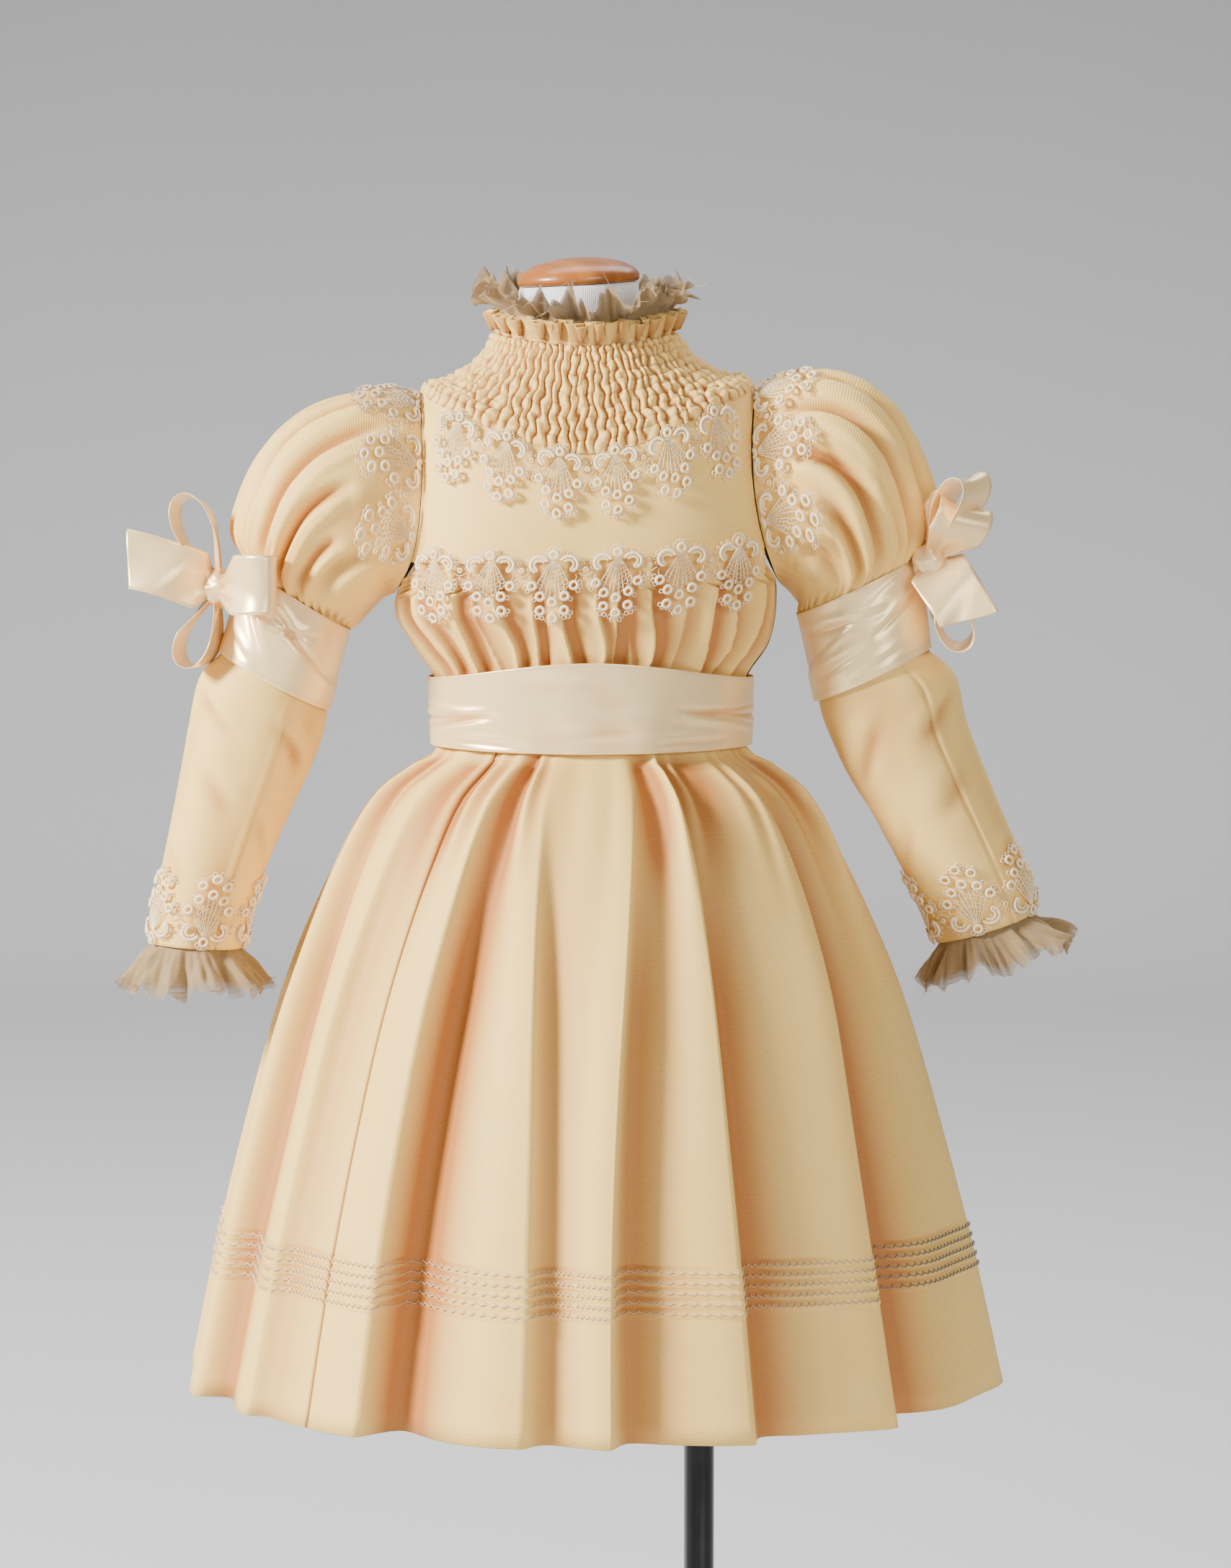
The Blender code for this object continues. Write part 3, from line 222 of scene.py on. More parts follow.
camera_data = bpy.data.cameras.new("camera")
camera_data.sensor_fit = "VERTICAL"
camera_data.sensor_height = 36.0
camera_data.lens = CAMERA_LENS
camera = bpy.data.objects.new("camera", camera_data)
camera.location = CAMERA_PLACE
camera.rotation_euler = (math.radians(90.0 - CAMERA_PITCH_DOWN), 0.0, 0.0)
bpy.context.scene.collection.objects.link(camera)
bpy.context.scene.camera = camera


# Smocked yoke: one piece of fine ribbed silk, gathered round the neck on ten rows of running
# stitch. Between the rows the ribs buckle from side to side. Its upper end is sewn into the
# collar's heading and its lower edge lies under the first lace row.
Ring = namedtuple("Ring", "side_x front_y back_y side_z front_z back_z square centre_x tilt")
TORSO = named_rows(Ring, (
    (0.0550, 0.0500, 0.0480, 0.9385, 0.9310, 0.9430, 2.0, -0.0035, 0.000),
    (0.0655, 0.0585, 0.0550, 0.9235, 0.9130, 0.9270, 2.1, -0.0030, 0.010),
    (0.0840, 0.0680, 0.0640, 0.9120, 0.8900, 0.9090, 2.2, -0.0025, 0.015),
    (0.1005, 0.0755, 0.0720, 0.9045, 0.8680, 0.8880, 2.3, -0.0020, 0.020),
    (0.1085, 0.0830, 0.0785, 0.8580, 0.8370, 0.8480, 2.6, -0.0020, 0.030),
    (0.1130, 0.0865, 0.0800, 0.8090, 0.8060, 0.8080, 2.7, -0.0015, 0.045),
    (0.1175, 0.0855, 0.0795, 0.7740, 0.7740, 0.7740, 2.5, -0.0030, 0.020),
    (0.1100, 0.0800, 0.0760, 0.7500, 0.7520, 0.7500, 2.2, 0.0000, 0.000),
    (0.0965, 0.0750, 0.0715, 0.7290, 0.7340, 0.7290, 2.0, 0.0000, 0.000),
    (0.0935, 0.0730, 0.0700, 0.7066, 0.7066, 0.7066, 2.0, 0.0000, 0.000),
))
SILK_THICKNESS = 0.0007
SMOCK_RIBS = 80
SMOCK_ROWS = 10
RIPPLE_WAVES = 7


def read_rows(table, places):
    """Values of a table's columns between its rows, on smooth curves through them."""
    rows = np.array(table, dtype=float)
    last = len(rows) - 1
    place = np.clip(np.asarray(places, dtype=float), 0.0, last)
    first = np.minimum(place.astype(int), last - 1)
    step = (place - first)[..., None]
    before = rows[np.maximum(first - 1, 0)]
    start = rows[first]
    end = rows[first + 1]
    after = rows[np.minimum(first + 2, last)]
    bend = 2 * before - 5 * start + 4 * end - after
    twist = 3 * start - before - 3 * end + after
    return start + 0.5 * ((end - before) * step + bend * step ** 2 + twist * step ** 3)


def body_points(rings, angle, level):
    """Points round the body; angle 0 is the front and grows to the viewer's right."""
    angle, level = np.broadcast_arrays(angle, level)
    ring = np.moveaxis(read_rows(rings, level), -1, 0)
    side_x, front_y, back_y, side_z, front_z, back_z, square, centre_x, tilt = ring
    across = np.sin(np.radians(angle))
    ahead = np.cos(np.radians(angle))
    depth = np.where(ahead > 0, front_y, back_y)
    end_z = np.where(ahead > 0, front_z, back_z)
    wide = (np.abs(across) / side_x) ** square
    deep = (np.abs(ahead) / depth) ** square
    radius = (wide + deep) ** (-1.0 / square)
    x = radius * across + centre_x
    z = side_z + (end_z - side_z) * ahead ** 2 + tilt * x
    return np.stack((x, -radius * ahead, z), axis=-1)


def round_grid(columns, first_level, last_level, rows):
    """Angle and level at each point of a grid all round the body or an arm."""
    return np.meshgrid(np.arange(columns) * 360.0 / columns, np.linspace(first_level, last_level, rows))


def unit(vectors):
    """Vectors of the same directions and of length one."""
    return vectors / np.maximum(np.linalg.norm(vectors, axis=-1, keepdims=True), 1e-12)


def way(points, axis=0):
    """Length of the way to each point along one axis of a line or grid."""
    steps = np.linalg.norm(np.diff(points, axis=axis), axis=-1)
    return np.insert(np.cumsum(steps, axis=axis), 0, 0.0, axis=axis)


def outward(points, closed):
    """Unit normals of a grid of points, away from the middle of its rows."""
    if closed:
        across = np.roll(points, -1, axis=1) - np.roll(points, 1, axis=1)
    else:
        across = np.gradient(points, axis=1)
    normals = unit(np.cross(np.gradient(points, axis=0), across))
    middle = points.mean(axis=1, keepdims=True)
    return normals if np.sum(normals * (points - middle)) > 0 else -normals


def lifted(points, amount, closed):
    """Grid of points moved out along their normals."""
    return points + outward(points, closed) * amount[..., None]


def ripple(angle, level, seed, turns, rate):
    """Soft irregular waves that close on themselves round the body."""
    source = np.random.default_rng(seed)
    total = 0.0
    for _ in range(RIPPLE_WAVES):
        across = source.integers(1, turns + 1)
        down = source.uniform(-rate, rate)
        total = total + np.sin(np.radians(angle) * across + level * down + source.uniform(0.0, 6.3))
    return total / math.sqrt(RIPPLE_WAVES)


def grid_mesh(name, points, closed, hollow=None):
    """Mesh of a grid of points, with the cloth's own lengths as its UV map."""
    rows, columns = points.shape[:2]
    wrapped = np.concatenate((points, points[:, :1]), axis=1) if closed else points
    across = way(wrapped, 1)
    down = np.broadcast_to(way(wrapped).mean(axis=1, keepdims=True), across.shape)
    r, c = np.meshgrid(np.arange(rows - 1), np.arange(wrapped.shape[1] - 1), indexing="ij")
    corners = [(r, c), (r, c + 1), (r + 1, c + 1), (r + 1, c)]
    faces = np.stack([row * columns + column % columns for row, column in corners], axis=-1)
    places = np.stack([np.stack((across[at], down[at]), axis=-1) for at in corners], axis=2)
    first = np.cross(points[0, 1] - points[0, 0], points[1, 0] - points[0, 0])
    if np.dot(first, outward(points, closed)[0, 0]) < 0:
        faces = faces[..., ::-1]
        places = places[:, :, ::-1]
    mesh = bpy.data.meshes.new(name)
    mesh.from_pydata(points.reshape(-1, 3).tolist(), [], faces.reshape(-1, 4).tolist())
    uv_map = mesh.uv_layers.new(name="cloth")
    uv_map.data.foreach_set("uv", np.ascontiguousarray(places).ravel())
    # Painted shade: the share of shade at each point, stored for the materials to darken.
    shade = mesh.attributes.new("hollow", "FLOAT", "POINT")
    values = np.zeros(rows * columns) if hollow is None else np.clip(hollow, 0.0, 1.0).ravel()
    shade.data.foreach_set("value", values)
    return mesh


def cloth_piece(name, points, closed, hollow, paint, solid, slot="silk", thickness=0.0, **cut):
    """Cloth on a grid of points in place of a solid; the cut given with it is not used."""
    solids = [solid] if solid else []
    piece = new_piece(name, grid_mesh(name, points, closed, hollow), paint.material, solids, slot)
    if thickness:
        inward = piece.modifiers.new("thickness", "SOLIDIFY")
        inward.thickness = thickness
        inward.offset = -1.0


def silk(name, rib=0.0011, warm=0.0, dirt=0.0, along="Y"):
    """Fine ribbed silk: cross ribs, slight yellowing, and painted shade: darker and warmer in the hollows and
    between the ribs.
    """
    paint = Paint(name, Sheen_Weight=0.04, Sheen_Roughness=0.4, Specular_IOR_Level=0.25)
    place = paint.place()
    cloth = paint.cloth()
    clouds = paint.noise(place, 9.0, 4.0)
    colour = paint.mix(clouds, (0.93, 0.595, 0.145), (0.955, 0.65, 0.20))
    colour = paint.mix(paint.ramp(paint.noise(place, 30.0, 5.0), 0.55, 0.85, 0.0, 0.35), colour,
                       (0.89, 0.53, 0.14))
    # Painted shade: the cloth's hollows painted darker and warmer by their stored share of shade.
    colour = paint.mix(paint.ramp(paint.hollow(), 0.0, 0.85, 0.0, 0.96), colour, (0.42, 0.125, 0.018))
    if warm:
        colour = paint.mix(warm, colour, (0.92, 0.52, 0.12))
    if dirt:
        colour = paint.mix(paint.ramp(paint.noise(place, 45.0, 6.0, 0.65), 0.5, 0.8, 0.0, dirt), colour,
                           (0.45, 0.38, 0.28))
    drift = paint.noise(paint.stretched(cloth, 25.0, 25.0, 25.0), 1.0, 2.0) * 0.0009
    ribs = paint.wave((paint.part(cloth, along) + drift) * (2.0 * math.pi / rib))
    yarn_size = (4200.0, 900.0) if along == "X" else (900.0, 4200.0)
    yarn = paint.noise(paint.stretched(cloth, *yarn_size, 1.0), 1.0, 3.0, 0.6)
    # Painted shade: the troughs between the ribs are painted darker.
    colour = paint.mix(paint.ramp(ribs, -1.0, 1.0, 0.17, 0.0), colour, (0.66, 0.38, 0.16))
    roughness = paint.ramp(yarn, 0.2, 0.8, 0.44, 0.62)
    paint.finish(colour, roughness, ribs * 0.5 + yarn * 0.6, 0.55, 0.00022)
    return paint


angle, level = round_grid(880, 0.0, 3.02, 60)
sway = level * SMOCK_ROWS * math.pi / 3.0 + 3.0 * ripple(angle, level, 12, 30, 1.0)
wander = 0.20 * ripple(angle, level, 11, 40, 5.0) + 0.16 * np.sin(sway)
rib_place = (angle * SMOCK_RIBS / 360.0 + wander) % 1.0
rib_height = 1.0 - np.abs(2.0 * rib_place - 1.0) ** 2.4
stitched = np.abs(((level * SMOCK_ROWS / 3.0 + 0.12 * ripple(angle, level, 13, 25, 1.0)) % 1.0) - 0.5)
pinch = np.exp(-((0.5 - stitched) / 0.10) ** 2)
under_lace = 1.0 - 0.55 * np.clip((level - 2.72) / 0.2, 0.0, 1.0)
size = (0.0025 + 0.0004 * level) * (1.0 + 0.25 * ripple(angle, level, 14, 60, 9.0)) * under_lace
relief = size * (rib_height * (1.0 - 0.50 * pinch) - 0.25) + 0.0005 * ripple(angle, level, 15, 50, 14.0)
# Painted shade: darker between the ribs and along the pinched gathering rows.
hollow = np.clip(1.15 - rib_height * 1.5, 0.0, 1.0) + 0.40 * pinch - 0.05
cloth_piece("smocking", lifted(body_points(TORSO, angle, level), relief, True), True, hollow,
            silk("smocked silk", 0.0010, dirt=0.12), "smocked_yoke",
            flat=(0.62, 0.095), held="gathered", rests_on=["dress_form"])


# Collar heading: the smocked piece's own upper edge, turned in, which stands above the top
# gathering row as a frill of small round loops that lean different ways.
FRILL = named_rows(Ring, (
    (0.0556, 0.0507, 0.0487, 0.9404, 0.9329, 0.9449, 2.0, -0.0035, 0.0),
    (0.0590, 0.0550, 0.0520, 0.9530, 0.9450, 0.9570, 2.0, -0.0035, 0.0),
))
FRILL_LOOPS = 27

angle, level = round_grid(540, -0.12, 1.0, 12)
phase = np.radians(angle) * FRILL_LOOPS + 1.1 * ripple(angle, 0 * level, 21, 12, 0.0)
swell = np.clip(level, 0.0, 1.0) ** 0.7
lean = swell * (4.6 * np.sin(2.0 * phase + 0.6) * (1.0 + 0.3 * ripple(angle, 0 * level, 22, 14, 0.0)))
frill_points = body_points(FRILL, angle + lean, np.clip(level, 0.0, 1.0))
frill_points[..., 2] += 0.0125 * np.minimum(level, 0.0)
wave = (0.0004 + 0.0030 * swell) * np.sin(phase) * (1.0 + 0.25 * ripple(angle, 0 * level, 23, 16, 0.0))
frill_points = lifted(frill_points, wave - 0.0004, True)
frill_points[..., 2] += swell ** 2 * (0.0011 * ripple(angle, 0 * level, 24, 30, 0.0) - 0.0004)
# Painted shade: the frill's loops are painted darker where they curl in.
frill_painted_shade = np.clip(0.35 - 0.5 * np.sin(phase), 0.0, 1.0) * (1.0 - 0.5 * swell)
cloth_piece("heading", frill_points, True, frill_painted_shade, silk("heading silk", 0.0010, dirt=0.08, along="X"),
            "collar_frill", thickness=SILK_THICKNESS, flat=(0.62, 0.026), held="gathered")


# Neck ruffle: a frill of stiff silk organza inside the collar, grey beige with age, its raw
# upper edge frayed and crumpled, with loose hair-fine threads.
NECK_RUFFLE = named_rows(Ring, (
    (0.0530, 0.0480, 0.0460, 0.9375, 0.9300, 0.9420, 2.0, -0.0035, 0.0),
    (0.0525, 0.0480, 0.0455, 0.9560, 0.9480, 0.9600, 2.0, -0.0040, 0.0),
    (0.0640, 0.0600, 0.0560, 0.9680, 0.9590, 0.9755, 2.0, -0.0060, 0.0),
))


def organza(name, edge_start, edge_end):
    """Sheer aged organza, thinner and ragged towards its raw edge."""
    paint = Paint(name, Sheen_Weight=0.3, Specular_IOR_Level=0.4)
    place = paint.place()
    cloth = paint.cloth()
    streaks = paint.noise(paint.stretched(cloth, 900.0, 130.0, 1.0), 1.0, 4.0, 0.65)
    colour = paint.mix(paint.noise(place, 60.0, 4.0), (0.20, 0.115, 0.035), (0.38, 0.235, 0.085))
    colour = paint.mix(paint.ramp(streaks, 0.35, 0.75, 0.0, 0.5), colour, (0.48, 0.32, 0.13))
    ragged = paint.ramp(paint.part(cloth, "Y"), edge_start, edge_end)
    ragged = ragged * paint.ramp(paint.noise(paint.stretched(cloth, 330.0, 70.0, 1.0), 1.0, 3.0), 0.30, 0.55)
    alpha = paint.ramp(streaks, 0.25, 0.55, 0.92, 1.0) - ragged * 0.80
    threads = paint.wave(paint.part(cloth, "X") * 12000.0) + paint.wave(paint.part(cloth, "Y") * 12000.0)
    paint.finish(colour, 0.55, threads * 0.2 + streaks, 0.5, 0.0004, alpha)
    return paint


angle, level = round_grid(540, 0.15, 2.0, 24)
swell = np.clip((level - 0.55) / 1.45, 0.0, 1.0)
phase = np.radians(angle) * 17 + 1.6 * ripple(angle, 0.4 * level, 31, 9, 1.0)
wave = 0.0058 * swell * np.sin(phase) + 0.0034 * swell * ripple(angle, level, 32, 70, 6.0)
ruffle_points = lifted(body_points(NECK_RUFFLE, angle, level), wave, True)
ruffle_points[..., 2] += swell ** 2 * 0.0048 * ripple(angle, 0 * level, 33, 44, 0.0)
neck_ruffle = new_piece("neck_organza", grid_mesh("neck_organza", ruffle_points, True),
                        organza("neck organza", 0.030, 0.040).material, ["neck_ruffle"], "organza")


def loose_threads(name, edge, out, count, length, seed, material):
    """Fine loose threads that stand out of a raw edge, bent at random."""
    source = np.random.default_rng(seed)
    vertices = []
    faces = []
    for _ in range(count):
        k = source.integers(0, len(edge))
        place = edge[k] - out[k] * 0.002
        along = unit(out[k] * source.uniform(0.3, 1.0) + source.normal(0.0, 0.55, 3))
        bend = source.normal(0.0, 0.55, 3)
        reach = length * source.uniform(0.25, 1.0)
        side = unit(np.cross(along, source.normal(0.0, 1.0, 3)))
        first = len(vertices)
        for j in range(6):
            share = j / 5
            middle = place + along * reach * share + bend * reach * 0.5 * share ** 2
            width = 0.00013 * (1.0 - 0.7 * share)
            vertices += [middle - side * width, middle + side * width]
        faces += [(first + 2 * j, first + 2 * j + 1, first + 2 * j + 3, first + 2 * j + 2)
                  for j in range(5)]
    mesh = bpy.data.meshes.new(name)
    mesh.from_pydata([tuple(vertex) for vertex in vertices], [], faces)
    return new_piece(name, mesh, material, (), "organza")


thread_paint = Paint("organza threads", Roughness=0.6, Sheen_Weight=0.2)
thread_paint.finish(thread_paint.mix(thread_paint.noise(thread_paint.place(), 80.0), (0.42, 0.28, 0.12),
                                     (0.70, 0.52, 0.28)))
upward = np.array((0.0, 0.0, 1.0))
neck_out = outward(ruffle_points, True)[-1] * 0.9 + upward * 0.6
neck_threads = loose_threads("neck_threads", ruffle_points[-1], neck_out, 520, 0.008, 34,
                             thread_paint.material)


# Plain yoke: a smooth square panel in front and another behind, of the same ribbed silk with
# its ribs across, flat under both lace rows, with a few pale spots of old glue.
ARMHOLE_MIDDLE = 4.38
ARMHOLE_REACH = 1.27
ARMHOLE_ANGLE = 25.0
ARMHOLE_MARGIN = 0.25
UNDER_SOLID = 0.0006


def armhole_limit(level):
    """Largest angle from the front or back that a body panel reaches at a level."""
    rise = np.clip((ARMHOLE_MIDDLE - level) / ARMHOLE_REACH, -1.0, 1.0)
    inside = ARMHOLE_ANGLE * np.sqrt(1.0 - rise ** 2)
    return 90.0 - inside - np.where(inside > 0.0, ARMHOLE_MARGIN, 0.0)


def panel_grid(columns, levels, behind):
    """Angles and levels of a front or back panel that narrows at the armholes."""
    share, level = np.meshgrid(np.linspace(-1.0, 1.0, columns), levels)
    return share * armhole_limit(level) + (180.0 if behind else 0.0), level


yoke_silk = silk("yoke silk", 0.0011)
yoke_place = yoke_silk.place()
yoke_spots = yoke_silk.ramp(yoke_silk.noise(yoke_place, 95.0, 2.0), 0.66, 0.74, 0.0, 0.5)
yoke_low = yoke_silk.ramp(yoke_silk.part(yoke_place, "Z"), 0.835, 0.865)
yoke_right = yoke_silk.ramp(yoke_silk.part(yoke_place, "X"), -0.03, 0.02)
yoke_silk.finish(yoke_silk.mix(yoke_spots * yoke_low * yoke_right, yoke_silk.colour(), (0.95, 0.86, 0.74)))
for name, behind, height in (("yoke_front", False, 0.105), ("yoke_back", True, 0.110)):
    angle, level = panel_grid(80, np.linspace(2.97, 5.06, 36), behind)
    soft = 0.0005 * ripple(angle, level, 41 + behind, 7, 2.5) * np.clip((level - 3.1) * 3.0, 0.0, 1.0)
    cloth_piece(f"{name}_cloth", lifted(body_points(TORSO, angle, level), soft - UNDER_SOLID, False), False,
                None, yoke_silk, name, flat=(0.215, height), held="laid", rests_on=["dress_form"])


# Bodice: front and back panels gathered into deep soft pleats under the second lace row and
# let into the belt. Each pleat is a rounded edge that lies over a dark hollow on its right.
Pleat = namedtuple("Pleat", "angle depth width")
FRONT_PLEATS = named_rows(Pleat, (
    (-73, 0.0045, 2.6), (-62, 0.0050, 2.2), (-49, 0.0060, 2.4), (-41, 0.0022, 2.0),
    (-32.5, 0.0055, 2.2), (-21.5, 0.0050, 2.0), (-8.5, 0.0068, 2.6),
    (5.5, 0.0042, 2.0), (11.5, 0.0055, 2.2), (18, 0.0025, 2.0), (26, 0.0060, 2.4),
    (37, 0.0022, 2.0), (48.5, 0.0060, 2.2), (56, 0.0045, 2.0), (68, 0.0050, 2.4),
    (80, 0.0040, 2.2),
))
BACK_PLEATS = tuple(Pleat(-78 + 11.2 * k + 2.4 * math.sin(5.1 * k), 0.0045 + 0.0016 * math.sin(3.3 * k),
                          2.3) for k in range(15))
DEEPEST_PLEAT = 0.0050


def pleat_relief(angle, level, pleats):
    """Height of the cloth over its pleats and in their hollows."""
    depth = np.zeros_like(angle)
    for k, pleat in enumerate(pleats):
        edge = pleat.angle + 1.3 * np.sin(level * 1.7 + 2.1 * k)
        past = angle - edge
        gap = np.where(past > 0, (past / pleat.width) * np.exp(1.0 - past / pleat.width), 0.0)
        depth -= pleat.depth * gap
        depth += 0.22 * pleat.depth * np.exp(-(past / (1.1 * pleat.width)) ** 2) * (past <= 0)
    return depth


bodice_silk = silk("bodice silk", 0.0011, 0.10)
for name, behind, pleats, width in (("bodice_front", False, FRONT_PLEATS, 0.46),
                                    ("bodice_back", True, BACK_PLEATS, 0.45)):
    angle, level = panel_grid(320, np.linspace(4.97, 8.75, 40), behind)
    begin = np.clip((level - 4.95) / 0.9, 0.0, 1.0)
    end = 1.0 - 0.5 * np.clip((level - 7.6) / 0.8, 0.0, 1.0)
    folds = pleat_relief(angle - (180.0 if behind else 0.0), level, pleats) * (0.35 + 0.65 * begin) * end
    folds = np.maximum(folds + 0.0007 * ripple(angle, level, 51, 30, 2.0) * begin * end, -DEEPEST_PLEAT)
    # Painted shade: the pleats' hollows are painted darker by their depth.
    cloth_piece(f"{name}_cloth", lifted(body_points(TORSO, angle, level), folds - UNDER_SOLID, False), False,
                -folds / 0.0052, bodice_silk, name,
                flat=(width, 0.10), held="gathered", rests_on=["dress_form"])


# Belt: wide satin ribbon with a fine woven picot edge, drawn round the waist and pinched into
# flat folds that run in from both sides.
BELT = named_rows(Ring, (
    (0.0998, 0.0797, 0.0754, 0.7300, 0.7425, 0.7300, 2.0, 0.0, 0.0),
    (0.0994, 0.0785, 0.0748, 0.7090, 0.7150, 0.7090, 2.0, 0.0, 0.0),
    (0.0990, 0.0775, 0.0745, 0.6885, 0.6875, 0.6885, 2.0, 0.0, 0.0),
))
Crease = namedtuple("Crease", "from_angle from_level to_angle to_level width depth")
BELT_CREASES = named_rows(Crease, (
    (-92, 1.18, -44, 1.12, 0.0022, 0.0024), (-88, 1.42, -52, 1.18, 0.0016, 0.0016),
    (-84, 0.90, -58, 1.06, 0.0018, 0.0013), (92, 1.12, 40, 0.98, 0.0022, 0.0024),
    (88, 1.36, 47, 1.05, 0.0016, 0.0018), (86, 0.82, 52, 0.98, 0.0016, 0.0014),
    (-20, 1.55, 22, 1.42, 0.0040, 0.0007), (-30, 0.45, 5, 0.58, 0.0045, 0.0006),
    (120, 1.0, 175, 1.10, 0.0030, 0.0014), (-125, 1.1, -165, 0.95, 0.0026, 0.0013),
    (-62, 1.70, -30, 1.80, 0.0022, 0.0010), (30, 1.75, 62, 1.66, 0.0024, 0.0010),
))


def creases(angle, level, table, degree_size, level_size):
    """Soft troughs along lines on the cloth, each with a ridge beside it."""
    total = np.zeros_like(angle)
    for row in table:
        x = ((angle - row.from_angle + 180.0) % 360.0 - 180.0) * degree_size
        y = (level - row.from_level) * level_size
        run_x = (row.to_angle - row.from_angle) * degree_size
        run_y = (row.to_level - row.from_level) * level_size
        length = math.hypot(run_x, run_y)
        share = np.clip((x * run_x + y * run_y) / length ** 2, 0.0, 1.0)
        away = np.hypot(x - share * run_x, y - share * run_y)
        side = (x * run_y - y * run_x) / length
        fade = 1.0 - np.abs(2.0 * share - 1.0) ** 3 * 0.75
        trough = np.exp(-(away / row.width) ** 2)
        ridge = np.exp(-((side - 1.8 * row.width) / (1.3 * row.width)) ** 2) * np.exp(
            -np.maximum(away - 3.0 * row.width, 0.0) / row.width)
        total += row.depth * fade * (0.55 * ridge - trough)
    return total


def satin(name, pink, edges):
    """Satin ribbon: smooth, softly glossy across the weave, with dull stitched edges and painted shade in its
    creases.
    """
    paint = Paint(name, Metallic=0.30, Specular_IOR_Level=0.6, Anisotropic=0.6)
    place = paint.place()
    cloth = paint.cloth()
    colour = paint.mix(paint.noise(place, 14.0, 3.0), (0.99, 0.69, 0.29), (1.0, 0.77, 0.38))
    colour = paint.mix(pink, colour, (1.0, 0.72, 0.36))
    # Painted shade: the ribbon's creases painted darker by their stored share of shade.
    colour = paint.mix(paint.ramp(paint.hollow(), 0.0, 1.0, 0.0, 0.75), colour, (0.68, 0.26, 0.07))
    colour = paint.mix(paint.ramp(paint.noise(place, 70.0, 5.0), 0.6, 0.8, 0.0, 0.16), colour,
                       (0.74, 0.58, 0.40))
    lines = paint.noise(paint.stretched(cloth, 220.0, 6500.0, 1.0), 1.0, 2.0)
    down = paint.part(cloth, "Y")
    stitch = paint.ramp(paint.wave(paint.part(cloth, "X") * 5200.0), -0.2, 0.4)
    for edge in edges:
        near = paint.node("ShaderNodeMath", {"operation": "ABSOLUTE"}, {0: down - edge})
        near = paint.ramp(near, 0.0010, 0.0004)
        colour = paint.mix(near * stitch * 0.55, colour, (0.68, 0.47, 0.28))
    paint.finish(colour, paint.ramp(lines, 0.2, 0.8, 0.25, 0.36), lines, 0.22, 0.00010)
    return paint


angle, level = round_grid(320, 0.0, 2.0, 38)
folds = creases(angle, level, BELT_CREASES, 0.00150, 0.0275)
folds += 0.00035 * ripple(angle, level, 61, 14, 2.0)
# Painted shade: the belt's crease troughs are painted darker by their depth.
cloth_piece("waist_belt", lifted(body_points(BELT, angle, level), folds, True), True, -folds / 0.0024,
            satin("belt satin", 0.5, (0.0012, 0.0535)), "belt", "satin", SILK_THICKNESS,
            flat=(0.57, 0.056), held="stretched", rests_on=["bodice_front_cloth", "bodice_back_cloth"])


# Skirt: four gores of the same ribbed silk, gathered closely into the belt and falling in
# large soft folds. Each fold is an overlying edge with a deep hollow on its right. Above the
# hem run five narrow tucks, and plain seams join the gores.
SkirtRing = namedtuple("SkirtRing", "height side_x front_y back_y gather")
SKIRT = named_rows(SkirtRing, (
    (0.7060, 0.0935, 0.0730, 0.0700, 0.00),
    (0.6865, 0.0940, 0.0735, 0.0705, 0.10),
    (0.6770, 0.1065, 0.0855, 0.0825, 0.90),
    (0.6630, 0.1265, 0.1050, 0.1010, 1.00),
    (0.6380, 0.1450, 0.1220, 0.1180, 0.90),
    (0.5950, 0.1670, 0.1430, 0.1380, 0.60),
    (0.5350, 0.1905, 0.1650, 0.1590, 0.30),
    (0.4600, 0.2125, 0.1850, 0.1780, 0.10),
    (0.3800, 0.2330, 0.2030, 0.1950, 0.00),
    (0.2970, 0.2510, 0.2160, 0.2070, 0.00),
))
SkirtFold = namedtuple("SkirtFold", "waist_angle hem_angle valley width height ridge")
SKIRT_FOLDS = named_rows(SkirtFold, (
    (-168, -166, 0.014, 3.0, 0.005, 7.0), (-148, -152, 0.010, 2.6, 0.004, 8.0),
    (-122, -126, 0.016, 3.2, 0.006, 8.0), (-98, -96, 0.011, 2.8, 0.004, 7.0),
    (-74, -70, 0.013, 3.0, 0.005, 8.0), (-52, -54, 0.006, 3.0, 0.003, 6.0),
    (-25, -32, 0.021, 3.2, 0.006, 7.0), (-13, -8.5, 0.009, 2.6, 0.004, 9.0),
    (14, 3, 0.012, 2.8, 0.007, 5.0), (25, 22.3, 0.014, 2.8, 0.004, 6.0),
    (56, 44.5, 0.024, 3.6, 0.010, 7.0), (84, 82, 0.010, 3.0, 0.004, 8.0),
    (106, 110, 0.015, 3.0, 0.006, 8.0), (130, 128, 0.010, 2.8, 0.004, 7.0),
    (156, 160, 0.016, 3.2, 0.006, 8.0),
))
Gore = namedtuple("Gore", "name start end width")
GORES = named_rows(Gore, (
    ("skirt_front", -39.6, 53.4, 0.46), ("skirt_right", 53.4, 140.4, 0.38),
    ("skirt_back", 140.4, 219.6, 0.37), ("skirt_left", 219.6, 320.4, 0.42),
))
TUCKS = 5
TUCK_PITCH = 0.0060
LOWEST_TUCK = 0.073
COLUMNS_A_DEGREE = 1.62


def fold_edges(share):
    """Angles of the folds' edges at one share of the way from waist to hem."""
    drift = 1.0 - (1.0 - share) ** 2.5
    return np.array([fold.waist_angle + (fold.hem_angle - fold.waist_angle) * drift
                     for fold in SKIRT_FOLDS])


